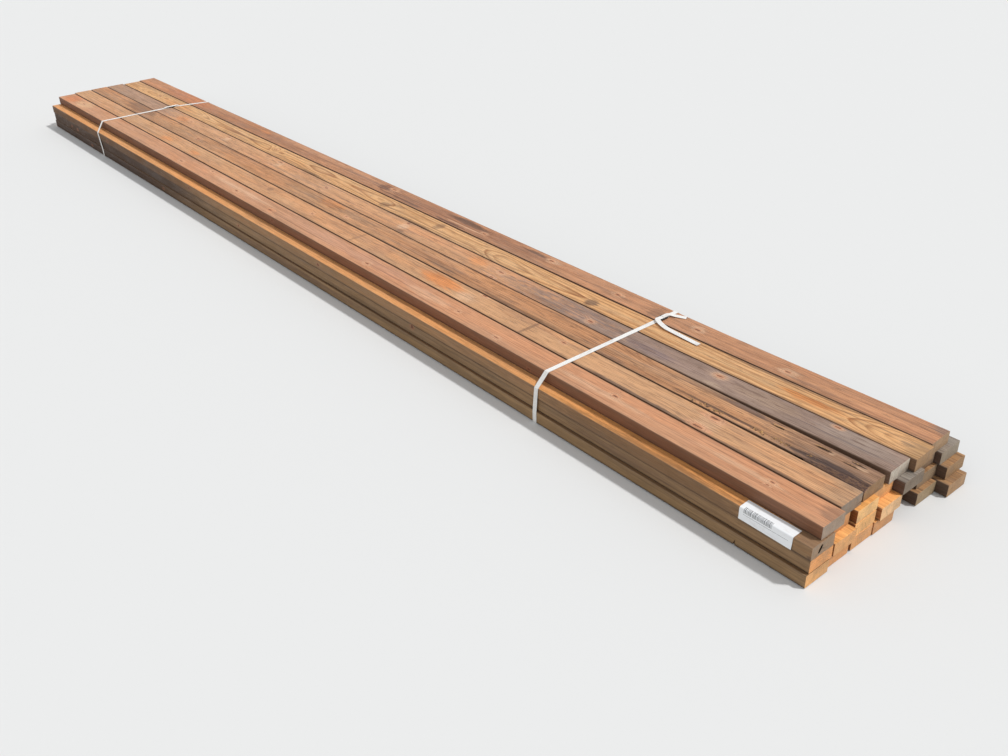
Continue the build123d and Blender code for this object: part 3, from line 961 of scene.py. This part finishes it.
# The pitch of the stations along the straps' taut runs and along their loose ends, the gap that
# is left without any, the share of a loose end's step over which its heading is read to either
# side, and the number of steps round a buckle's bar and round a board's edge
RUN_PITCH = 0.02
RUN_GAP = 0.03
LOOSE_PITCH = 0.004
NEARBY = 0.01
WRAP_STEPS = 12
BEND_STEPS = 6

# The cords: facets across each, and the share of the thickness that is left in the grooves
CORD_FACETS = 4
GROOVE_SHARE = 0.55

# The frayed ends: how deep a strand is rooted, its length and how much that changes, how far it
# strays, and its radius
FRAY_ROOT = 0.002
FRAY_LENGTH = 0.005
FRAY_CHANGE = 0.004
FRAY_STRAY = 0.0012
FRAY_RADIUS = 0.0003


def strap_corners(x):
    """The edges that a taut strap bears on at x, as (y, z) from the top front one round below."""
    points = []
    for row, count in (("top", 6), ("second", 7), ("third", 7), ("bottom", 7)):
        for node, back in ((f"{row}_board_1", False), (f"{row}_board_{count}", True)):
            y = front_at(side_line(node, back), x) + (-EDGE_RADIUS if back else EDGE_RADIUS)
            low = min(v.co.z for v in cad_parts[node].data.vertices)
            points += [(y, low + EDGE_RADIUS), (y, low + BOARD_THICKNESS - EDGE_RADIUS)]
    hull = [points[index] for index in convex_hull_2d(points)]
    bends = []
    for before, corner, after in zip([hull[-1], *hull], hull, [*hull[1:], hull[0]]):
        into = Vector(corner) - Vector(before)
        on = Vector(after) - Vector(corner)
        if into.normalized().dot(on.normalized()) < STRAIGHT:
            bends.append(corner)
    top = max(z for _, z in bends)
    first = bends.index(min(corner for corner in bends if corner[1] > top - TOP_BAND))
    return bends[first:] + bends[:first]


def stations_between(first, last, across, outward):
    """Stations of a straight run. A station is a place, a direction across and one outward."""
    count = max(1, round((last - first).length / RUN_PITCH))
    return [(first.lerp(last, number / count), across, outward) for number in range(count + 1)]


def arm(buckle, facing, sections, heading, straight):
    """Stations of a strap's end, from the top run round its bar and along the loose end."""
    wrap = WIRE_RADIUS + WIRE_CLEARANCE + STRAP_THICKNESS / 2
    band = STRAP_CLEARANCE + STRAP_THICKNESS / 2
    spacing = 2 * wrap + STRAP_THICKNESS + STRAP_CLEARANCE
    fold_back = BUCKLE_WINDOW + 2 * WIRE_RADIUS
    bar = buckle + Vector((0, -facing * spacing / 2, band + wrap))
    wide = Vector((1, 0, 0))
    up = Vector((0, 0, 1))
    path = [(bar + Vector((0, -facing * fold_back, -wrap)), wide, up)]
    for number in range(WRAP_STEPS + 1):
        angle = math.radians(-90 + 180 * number / WRAP_STEPS)
        away = Vector((0, facing * math.cos(angle), math.sin(angle)))
        path.append((bar + away * wrap, wide, -away))
    leaves = bar + Vector((0, -facing * fold_back, wrap))
    places = [leaves + Vector(step) / 1000 for step, _ in sections]
    sides = [Vector(across).normalized() for _, across in sections]
    places.append(places[-1] + Vector(heading).normalized() * straight)
    sides.append(sides[-1])
    for index in range(len(places) - 1):
        corners = [places[max(0, index - 1)], places[index], places[index + 1],
                   places[min(len(places) - 1, index + 2)]]
        count = max(3, round((corners[2] - corners[1]).length / LOOSE_PITCH))
        for number in range(1, count + 1):
            share = number / count
            place = curve_point(corners, share)
            ahead = curve_point(corners, share + NEARBY) - curve_point(corners, share - NEARBY)
            side = sides[index].lerp(sides[index + 1], share)
            side = (side - ahead * side.dot(ahead) / ahead.length_squared).normalized()
            path.append((place, side, side.cross(ahead).normalized() * facing))
    return path


def curve_point(corners, share):
    """A place on the smooth curve through the middle two of four corners."""
    before, first, last, after = corners
    rise = (last - before) * 0.5
    fall = (after - first) * 0.5
    square, cube = share ** 2, share ** 3
    return (
        first * (2 * cube - 3 * square + 1) + rise * (cube - 2 * square + share)
        + last * (3 * square - 2 * cube) + fall * (cube - square)
    )


def strap_path(buckle, shifts, front_end, back_end):
    """All the stations of a strap, from the tip of one loose end round the stack to the other's.

    The shifts give how far askew the strap stands at the top front edge, in front, below and
    behind."""
    corners = strap_corners(buckle.x + shifts[3])
    middle = EDGE_RADIUS + STRAP_CLEARANCE + STRAP_THICKNESS / 2
    heights = sorted(z for _, z in corners)
    wide = Vector((1, 0, 0))
    loop = []
    for index, (y, z) in enumerate(corners):
        if y > buckle.y:
            x = buckle.x + shifts[3]
        elif z < heights[0] + BOARD_THICKNESS:
            x = buckle.x + shifts[2]
        else:
            x = buckle.x + shifts[0 if z > heights[-1] - TOP_BAND else 1]
        before = Vector(corners[index - 1])
        after = Vector(corners[(index + 1) % len(corners)])
        here = Vector((y, z))
        into = (here - before).normalized()
        on = (after - here).normalized()
        start = math.atan2(-into.x, into.y)
        turn = (math.atan2(-on.x, on.y) - start) % math.tau
        for number in range(BEND_STEPS + 1):
            angle = start + turn * number / BEND_STEPS
            away = Vector((0, math.cos(angle), math.sin(angle)))
            loop.append((Vector((x, y, z)) + away * middle, wide, away))
    front = arm(buckle, 1, *front_end)
    back = arm(buckle, -1, *back_end)
    path = front[::-1]
    for station in loop:
        gap = (station[0] - path[-1][0]).length
        if gap > RUN_GAP:
            path += stations_between(path[-1][0], station[0], wide, station[2])[1:-1]
        path.append(station)
    path += stations_between(path[-1][0], back[0][0], wide, back[0][2])[1:-1]
    return path + back


def skin(mesh, rings):
    """Closes a row of rings of vertices into a solid skin."""
    count = len(rings[0])
    for before, after in zip(rings, rings[1:]):
        for index in range(count):
            nearby = (index + 1) % count
            mesh.faces.new((before[index], before[nearby], after[nearby], after[index]))
    mesh.faces.new(rings[0][::-1])
    mesh.faces.new(rings[-1])


def ribbon(mesh, path, width, cords):
    """A flat strap of cords side by side, swept along its stations, closed at its two tips."""
    noise.seed_set(NOISE_SEED)
    place_layer = mesh.verts.layers.float_vector.new("strap_place")
    half = STRAP_THICKNESS / 2
    profile = []
    for number in range(cords * CORD_FACETS + 1):
        share = number / (cords * CORD_FACETS)
        within = (number % CORD_FACETS) * 2 / CORD_FACETS - 1
        swell = math.sqrt(max(0.0, 1 - within * within))
        depth = half * (GROOVE_SHARE + (1 - GROOVE_SHARE) * swell)
        profile.append((width * (share - 0.5), depth))
    outline = profile + [(side, -depth) for side, depth in reversed(profile)]
    travelled = 0.0
    rings = []
    for index, (place, across, outward) in enumerate(path):
        if index:
            travelled += (place - path[index - 1][0]).length
        ring = []
        for side, depth in outline:
            vert = mesh.verts.new(place + across * side + outward * depth)
            vert[place_layer] = (side / width, travelled, depth / half)
            ring.append(vert)
        rings.append(ring)
    skin(mesh, rings)
    for tip, inner, salt in ((path[0], path[2], 0), (path[-1], path[-3], 50)):
        ahead = (tip[0] - inner[0]).normalized()
        for number in range(cords):
            side = width * ((number + 0.5) / cords - 0.5)
            stray = noise.noise_vector(Vector((salt + number * 3.7, number, 0.5)))
            start = tip[0] + tip[1] * side - ahead * FRAY_ROOT
            reach = ahead * (FRAY_LENGTH + FRAY_CHANGE * stray.x)
            strand(mesh, start, start + reach + stray * FRAY_STRAY, FRAY_RADIUS)
    bmesh.ops.recalc_face_normals(mesh, faces=mesh.faces)


def strand(mesh, start, end, radius):
    """A thin closed round strand between two places."""
    turn = (end - start).to_track_quat("Z", "Y").to_matrix().to_4x4()
    bmesh.ops.create_cone(
        mesh, cap_ends=True, segments=5, radius1=radius, radius2=radius * 0.5,
        depth=(end - start).length, matrix=Matrix.Translation((start + end) / 2) @ turn,
    )


def strap_material():
    """White woven cords, darker in the grooves between, rubbed and dusty along their length."""
    material, w = new_material("woven cord strap")
    place = w.attribute("strap_place")
    side, length, depth = w.split(place)
    groove = w.range(w.math("ABSOLUTE", depth), 0.60, 0.95, 1.0, 0.0)
    weave = w.math("SINE", w.plus(w.times(length, 3600.0), w.times(side, 40.0)))
    thread = w.stretched(place, (60.0, 500.0, 1.0))
    soil = w.stretched(place, (1.2, 22.0, 0.4), 5.0, 0.65)
    w.surface(
        Base_Color=w.laid(
            tint(247, 245, 241),
            (groove, 0.55, (156, 152, 146)),
            (w.range(weave, 0.2, 1.0), 0.12, (168, 166, 162)),
            (w.range(thread, 0.55, 0.75), 0.25, (196, 192, 186)),
            (w.range(soil, 0.48, 0.75), 0.40, (172, 160, 146)),
        ),
        Roughness=w.range(soil, 0.3, 0.7, 0.38, 0.7, False),
        Normal=w.bump(w.plus(weave, thread), 0.4, 0.0002),
    )
    return material


def wire_material():
    """Dark steel wire, dulled, with a little brown rust."""
    material, w = new_material("dark wire")
    place = w.add("ShaderNodeTexCoord").outputs["Object"]
    rust = w.range(w.noise(place, 420.0, 4.0, 0.65), 0.50, 0.66)
    w.surface(
        Base_Color=w.laid(tint(52, 50, 50), (rust, 1.0, (70, 46, 34))),
        Metallic=w.range(rust, 0.0, 1.0, 0.9, 0.2, False),
        Roughness=w.range(rust, 0.0, 1.0, 0.35, 0.85, False),
    )
    return material


# The paper tag, in metres: its near side, its length, its reach over the top and down the front
TAG_NEAR = 2.384
TAG_LENGTH = 0.152
TAG_TOP = 0.033
TAG_DROP = 0.034
TAG_THICKNESS = 0.0005

# How far it lies off the board, where its two faces lie in its thickness, how many parts it has
# down and along it, how much its upper and its lower edge curl up, and how much it swells between
TAG_CLEARANCE = 0.0001
TAG_FACE_SHARE = 0.4
TAG_ROWS = 36
TAG_COLUMNS = 30
UPPER_CURL = 0.0012
LOWER_CURL = 0.0026
TAG_SWELL = 0.0003


def tag_mesh():
    """The tag as a closed sheet folded over the board's edge, its free edges curled a little."""
    mesh = bmesh.new()
    place_layer = mesh.verts.layers.float_vector.new("tag_place")
    line = side_line("second_board_1")
    top = max(v.co.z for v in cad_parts["second_board_1"].data.vertices)
    lift = TAG_CLEARANCE + TAG_THICKNESS / 2
    radius = EDGE_RADIUS + lift
    flat = TAG_TOP - EDGE_RADIUS
    bend = radius * math.pi / 2
    total = flat + bend + TAG_DROP - EDGE_RADIUS
    sheets = ([], [])
    for column in range(TAG_COLUMNS + 1):
        along = column / TAG_COLUMNS
        x = TAG_NEAR - TAG_LENGTH * along
        front = front_at(line, x)
        for row in range(TAG_ROWS + 1):
            gone = total * row / TAG_ROWS
            ripple = noise.noise(Vector((along * 2.2, row / TAG_ROWS * 1.5, 3.1)))
            if gone < flat:
                spot = Vector((0, TAG_TOP - gone, lift))
                outward = Vector((0, 0, 1))
                curl = UPPER_CURL * (1 - gone / flat) ** 2 * (0.5 + along)
            elif gone < flat + bend:
                angle = math.pi / 2 * (1 + (gone - flat) / bend)
                outward = Vector((0, math.cos(angle), math.sin(angle)))
                spot = Vector((0, EDGE_RADIUS, -EDGE_RADIUS)) + outward * radius
                curl = 0.0
            else:
                down = gone - flat - bend
                spot = Vector((0, -lift, -EDGE_RADIUS - down))
                outward = Vector((0, -1, 0))
                curl = LOWER_CURL * (down / TAG_DROP) ** 2 * (1.2 - along)
            swell = 0.0 if curl == 0.0 else TAG_SWELL * (1 + ripple)
            centre = Vector((x, front, top)) + spot + outward * (curl + swell)
            for sheet, sign in zip(sheets, (1, -1)):
                vert = mesh.verts.new(centre + outward * sign * TAG_THICKNESS * TAG_FACE_SHARE)
                vert[place_layer] = (TAG_LENGTH * along, gone, sign)
                sheet.append(vert)
    width = TAG_ROWS + 1
    for sheet, turned in zip(sheets, (False, True)):
        for column in range(TAG_COLUMNS):
            for row in range(TAG_ROWS):
                first = column * width + row
                corners = [sheet[first + step] for step in (0, 1, width + 1, width)]
                mesh.faces.new(corners[::-1] if turned else corners)
    rim = [column * width for column in range(TAG_COLUMNS + 1)]
    rim += [TAG_COLUMNS * width + row for row in range(1, width)]
    rim += [column * width + TAG_ROWS for column in range(TAG_COLUMNS - 1, -1, -1)]
    rim += range(TAG_ROWS - 1, 0, -1)
    for first, last in zip(rim, [*rim[1:], rim[0]]):
        mesh.faces.new((sheets[0][first], sheets[0][last], sheets[1][last], sheets[1][first]))
    bmesh.ops.recalc_face_normals(mesh, faces=mesh.faces)
    return mesh


def tag_material():
    """White coated paper with a band of plain bars, a ruled line and a little dust."""
    material, w = new_material("tag paper")
    place = w.attribute("tag_place")
    along, down = w.split(place)[:2]

    def inside(value, low, high):
        return w.times(w.math("GREATER_THAN", value, low), w.math("LESS_THAN", value, high))

    width = w.noise(w.join(w.times(along, 820.0), 0.0, 0.0), 1.0, 0.0)
    bars = w.times(
        w.range(width, 0.48, 0.52), inside(along, 0.058, 0.140), inside(down, 0.024, 0.043)
    )
    rule = w.times(inside(down, 0.0475, 0.0483), inside(along, 0.012, 0.140))
    dust = w.stretched(place, (30.0, 60.0, 1.0), 5.0, 0.65)
    w.surface(
        Base_Color=w.laid(
            tint(240, 241, 242),
            (w.range(dust, 0.5, 0.75), 0.35, (196, 190, 182)),
            (w.math("MAXIMUM", bars, rule), 0.85, (62, 64, 70)),
        ),
        Roughness=w.range(dust, 0.3, 0.7, 0.35, 0.6, False),
    )
    return material


def bark_material():
    """Flakes of dry bark and torn wood, from yellow brown to dark brown."""
    material, w = new_material("bark and splinters")
    place = w.add("ShaderNodeTexCoord").outputs["Object"]
    patch = w.range(w.noise(place, 160.0, 2.0), 0.38, 0.60)
    fibre = w.stretched(place, (40.0, 900.0, 900.0))
    w.surface(
        Base_Color=w.laid(
            tint(96, 68, 50),
            (patch, 1.0, (190, 146, 92)),
            (w.range(fibre, 0.4, 0.7), 0.5, (72, 54, 42)),
        ),
        Roughness=w.range(fibre, 0.3, 0.7, 0.7, 0.95, False),
    )
    return material


# Splinters on the third top board: root (along and across), length and lift, in metres
SPLINTERS = (
    (-0.186, 0.0740, 0.048, 0.0030),
    (-0.312, 0.0700, 0.034, 0.0022),
    (-0.100, 0.0620, 0.040, 0.0016),
    (-0.085, 0.0765, 0.030, 0.0020),
    (-0.420, 0.0500, 0.026, 0.0014),
)

# Each of them: its steps, how its width tapers and how it rises along them, half its width at the
# root and at the tip, its bow sideways, and how deep it is rooted
SLIVER_STEPS = 8
SLIVER_TAPER = 0.7
SLIVER_RISE = 1.6
SLIVER_HALF_WIDTH = 0.0020
SLIVER_TIP = 0.0001
SLIVER_BOW = 0.0012
SLIVER_ROOT = 0.0006

# The bark flakes: how many are tried, where they begin and over what length they lie, counted
# from the near end, how far they stray along and across, how far from the front they lie where
# the wane fades out and how much further at its full width, and their smallest radius, its range,
# their flattened shape, how much of the radius they stand off the wood, and how loose their
# clusters are
FLAKES = 460
FLAKES_FROM = 0.16
FLAKES_LENGTH = 0.42
FLAKE_STRAY = (0.02, 0.010, 0.006)
FLAKE_EDGE = (0.003, 0.024)
FLAKE_RADIUS = 0.0007
FLAKE_RANGE = 0.008
FLAKE_SHAPE = (1.9, 1.1, 0.55, 1.0)
FLAKE_LIFT = 0.15
FLAKE_SCATTER = 0.35

# The level that a ray is dropped from, over the stack, and the lowest where it meets the top row
ABOVE = 0.3
TOP_ROW = 0.12


def drop_on(tree, x, y):
    """Where a ray straight down meets the board, and the board's normal there."""
    return tree.ray_cast(Vector((x, y, ABOVE)), Vector((0, 0, -1)))[:2]


def sliver(mesh, root, length, lift):
    """A splinter that runs towards the near end and lifts off the board to a point."""
    rings = []
    for number in range(SLIVER_STEPS + 1):
        share = number / SLIVER_STEPS
        half = SLIVER_HALF_WIDTH * (1 - share) ** SLIVER_TAPER + SLIVER_TIP
        bow = SLIVER_BOW * math.sin(3 * share)
        middle = root + Vector((length * share, bow, lift * share ** SLIVER_RISE))
        corners = ((half, 0.0), (0.0, half * 0.5), (-half, 0.0), (0.0, -half * 0.5))
        rings.append([mesh.verts.new(middle + Vector((0, y, z))) for y, z in corners])
    skin(mesh, rings)


# The straps' loose ends: steps in mm from where the band leaves the buckle, each with the
# direction across the band, then the heading of the straight run after the last of them and that
# run's length in metres. FALL is the drop from there to the boards, in mm.
FALL = -4.5
LONG_END = (
    (
        ((0, 0, 0), (1, 0, 0)),
        ((1, -7, 2), (1, 0.15, 0)),
        ((8, -15, 3), (0.7, 0.7, 0)),
        ((20, -21, 2), (0.45, 0.88, 0)),
        ((35, -26, FALL + 5.6), (0.25, 0.96, 0.06)),
        ((53, -30, FALL + 4.6), (0.14, 0.99, 0.05)),
        ((73, -32, FALL + 4.0), (0.03, 1, 0.03)),
    ),
    (1, -0.03, -0.012), 0.116,
)
SHORT_END = (
    (
        ((0, 0, 0), (1, 0, 0)),
        ((2, 8, 1), (1, -0.3, 0)),
        ((9, 16, 0), (0.8, -0.8, 0)),
        ((20, 23, -2), (0.5, -0.9, 0)),
    ),
    (0.9, 0.5, (FALL + 2.3) / 34), 0.034,
)


def stub(facing):
    """A short end that runs straight on from the buckle, forward (-1) or back (1)."""
    places = ((0, 0, 0), (0, 8 * facing, 0.5), (0, 16 * facing, -0.5))
    return [(place, (1, 0, 0)) for place in places], (0, facing, -0.2), 0.009


# Each strap's name, its width, its cords, how far askew it stands at the top front edge, in front,
# below and behind, and its two ends
STRAPS = (
    ("near", 0.016, 8, (0, 0, 0, 0), LONG_END, SHORT_END),
    ("far", 0.0145, 7, (-0.008, 0.028, 0.054, 0.044), stub(-1), stub(1)),
)


def wear(node, material):
    """Gives a CAD node its material."""
    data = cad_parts[node].data
    data.materials.clear()
    data.materials.append(material)


class StageSettings(bpy.types.PropertyGroup):
    """Floor and light."""

    floor_colour: FloatVectorProperty(
        name="Floor colour", description="Colour of the plain floor", subtype="COLOR", size=3,
        default=(0.72, 0.72, 0.71), min=0.0, max=1.0,
    )
    key_strength: FloatProperty(
        name="Key light", description="Strength of the light from above the back",
        default=2.2, min=0.0,
    )
    key_softness: FloatProperty(
        name="Key softness", description="How wide the key light looks from the stack",
        default=math.radians(4), subtype="ANGLE",
    )
    sky_strength: FloatProperty(
        name="Sky light", description="Strength of the even light from all round",
        default=0.55, min=0.0,
    )


class LUMBER_OT_stage(bpy.types.Operator):
    """Adds the floor, the soft lights and the camera"""

    bl_idname = "lumber.stage"
    bl_label = "Stage"

    def execute(self, context):
        stage = context.scene.lumber_stage
        floor = bmesh.new()
        bmesh.ops.create_circle(floor, cap_ends=True, segments=64, radius=FLOOR_RADIUS)
        bmesh.ops.translate(floor, verts=floor.verts, vec=(0, 0, FLOOR_LEVEL))
        data = bpy.data.meshes.new("floor")
        floor.to_mesh(data)
        floor.free()
        material, w = new_material("floor")
        w.surface(Base_Color=(*stage.floor_colour, 1.0), Roughness=0.9, Specular_IOR_Level=0.1)
        data.materials.append(material)
        piece = bpy.data.objects.new("floor", data)
        context.scene.collection.objects.link(piece)

        for name, strength, softness, towards in (
            ("key_light", stage.key_strength, stage.key_softness, TOWARDS_KEY),
            ("fill_light", stage.key_strength * FILL_SHARE, FILL_SOFTNESS, TOWARDS_FILL),
        ):
            lamp = bpy.data.lights.new(name, "SUN")
            lamp.energy = strength
            lamp.angle = softness
            light = bpy.data.objects.new(name, lamp)
            light.rotation_mode = "QUATERNION"
            light.rotation_quaternion = Vector(towards).to_track_quat("Z", "Y")
            context.scene.collection.objects.link(light)

        world = bpy.data.worlds.new("studio")
        context.scene.world = world
        world.use_nodes = True
        w = Wiring(world.node_tree)
        sky = world.node_tree.nodes["Background"]
        sky.inputs["Color"].default_value = SKY_COLOUR
        rays = w.add("ShaderNodeLightPath").outputs
        seen = w.math("MAXIMUM", rays["Is Camera Ray"], rays["Is Glossy Ray"])
        strength = w.range(seen, 0.0, 1.0, stage.sky_strength, SKY_SEEN, False)
        w.filled(sky, Strength=strength)

        lens = bpy.data.cameras.new("camera")
        lens.lens = CAMERA_LENS
        lens.sensor_width = SENSOR_WIDTH
        camera = bpy.data.objects.new("camera", lens)
        context.scene.collection.objects.link(camera)
        angles = (CAMERA_AZIMUTH, CAMERA_ELEVATION, CAMERA_ROLL)
        azimuth, elevation, roll = map(math.radians, angles)
        back = Vector((
            math.sin(azimuth) * math.cos(elevation),
            -math.cos(azimuth) * math.cos(elevation),
            math.sin(elevation),
        ))
        right = (-back).cross(Vector((0, 0, 1))).normalized()
        up = right.cross(-back)
        turned_right = right * math.cos(roll) + up * math.sin(roll)
        turned_up = up * math.cos(roll) - right * math.sin(roll)
        turn = Matrix((turned_right, turned_up, back)).transposed()
        camera.matrix_world = Matrix.Translation(CAMERA_PLACE) @ turn.to_4x4()
        context.scene.camera = camera
        context.scene.view_settings.view_transform = "Standard"
        return {"FINISHED"}


class LUMBER_OT_boards(bpy.types.Operator):
    """Dresses the twenty-seven boards in their wood"""

    bl_idname = "lumber.boards"
    bl_label = "Boards"

    def execute(self, context):
        for node in sorted(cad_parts):
            if "_board_" in node:
                dress_board(node)
        return {"FINISHED"}


class LUMBER_OT_straps(bpy.types.Operator):
    """Weaves the two straps with their loose ends and finishes the buckles"""

    bl_idname = "lumber.straps"
    bl_label = "Straps and buckles"

    def execute(self, context):
        material = strap_material()
        for name, width, cords, askew, front_end, back_end in STRAPS:
            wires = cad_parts[f"{name}_buckle"].data.vertices
            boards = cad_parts["top_board_1"].data.vertices
            buckle = Vector(
                (min(v.co[axis] for v in wires) + max(v.co[axis] for v in wires)) / 2
                for axis in range(3)
            )
            buckle.z = max(v.co.z for v in boards)
            mesh = bmesh.new()
            ribbon(mesh, strap_path(buckle, askew, front_end, back_end), width, cords)
            finish_piece(mesh, f"woven_{name}_strap", f"{name}_strap", material)
        wire = wire_material()
        for node in ("near_buckle", "far_buckle"):
            wear(node, wire)
        return {"FINISHED"}


class LUMBER_OT_tag(bpy.types.Operator):
    """Folds the paper tag over the second row's front board"""

    bl_idname = "lumber.tag"
    bl_label = "Paper tag"

    def execute(self, context):
        finish_piece(tag_mesh(), "folded_tag", "paper_tag", tag_material())
        return {"FINISHED"}


class LUMBER_OT_bark(bpy.types.Operator):
    """Scatters bark flakes along the third top board's wane and lifts its splinters"""

    bl_idname = "lumber.bark"
    bl_label = "Bark and splinters"

    def execute(self, context):
        board = bpy.data.objects["dressed_top_board_3"]
        tree = BVHTree.FromPolygons(
            [v.co for v in board.data.vertices], [p.vertices for p in board.data.polygons]
        )
        line = side_line("top_board_3")
        near_end = line[-1][0]
        mesh = bmesh.new()
        noise.seed_set(NOISE_SEED)
        stray_along, stray_across, stray_more = FLAKE_STRAY
        for number in range(FLAKES):
            chance = noise.noise_vector(Vector((number * 1.37, number * 0.71, 4.2)))
            second = noise.noise_vector(Vector((number * 0.83, 7.7, number * 1.19)))
            along = FLAKES_FROM + FLAKES_LENGTH * (number / FLAKES) + stray_along * chance.x
            x = near_end - along
            # Flakes lie in clusters, with bare stretches between
            cluster = noise.noise(Vector((along * 34, 0.5, 2.5)))
            if cluster + FLAKE_SCATTER * second.z < 0.0:
                continue
            edge = FLAKE_EDGE[0] + FLAKE_EDGE[1] * max(0.0, 1 - along / WANE_REACH)
            y = front_at(line, x) + edge + stray_across * chance.y + stray_more * second.x
            hit, normal = drop_on(tree, x, y)
            if hit is None or hit.z < TOP_ROW:
                continue
            size = FLAKE_RADIUS + FLAKE_RANGE * abs(chance.z) * abs(second.y)
            turn = Matrix.Rotation(chance.x * 2, 4, "Z") @ Matrix.Rotation(chance.y, 4, "Y")
            place = Matrix.Translation(hit + normal * size * FLAKE_LIFT)
            bmesh.ops.create_icosphere(
                mesh, subdivisions=1, radius=size,
                matrix=place @ turn @ Matrix.Diagonal(FLAKE_SHAPE),
            )
        for along, across, length, lift in SPLINTERS:
            x = near_end + along
            hit, _ = drop_on(tree, x, front_at(line, x) + across)
            sliver(mesh, hit - Vector((0, 0, SLIVER_ROOT)), length, lift)
        finish_piece(mesh, "bark_and_splinters", None, bark_material())
        return {"FINISHED"}


class LUMBER_PT_panel(bpy.types.Panel):
    """Lists the steps that make the stack and its stage"""

    bl_idname = "LUMBER_PT_panel"
    bl_label = "Stack of lumber"
    bl_space_type = "VIEW_3D"
    bl_region_type = "UI"
    bl_category = "Lumber"

    def draw(self, context):
        settings = context.scene.lumber_stage
        for name in settings.__annotations__:
            self.layout.prop(settings, name)
        for operator in OPERATORS:
            self.layout.operator(operator.bl_idname)


OPERATORS = (LUMBER_OT_stage, LUMBER_OT_boards, LUMBER_OT_straps, LUMBER_OT_tag, LUMBER_OT_bark)
CLASSES = (StageSettings, *OPERATORS, LUMBER_PT_panel)


def register():
    for item in CLASSES:
        bpy.utils.register_class(item)
    bpy.types.Scene.lumber_stage = PointerProperty(type=StageSettings)


def unregister():
    del bpy.types.Scene.lumber_stage
    for item in reversed(CLASSES):
        bpy.utils.unregister_class(item)


def main():
    """Makes the whole scene."""
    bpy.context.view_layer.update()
    register()
    for operator in OPERATORS:
        prefix, name = operator.bl_idname.split(".")
        getattr(getattr(bpy.ops, prefix), name)()


if __name__ == "__main__":
    main()
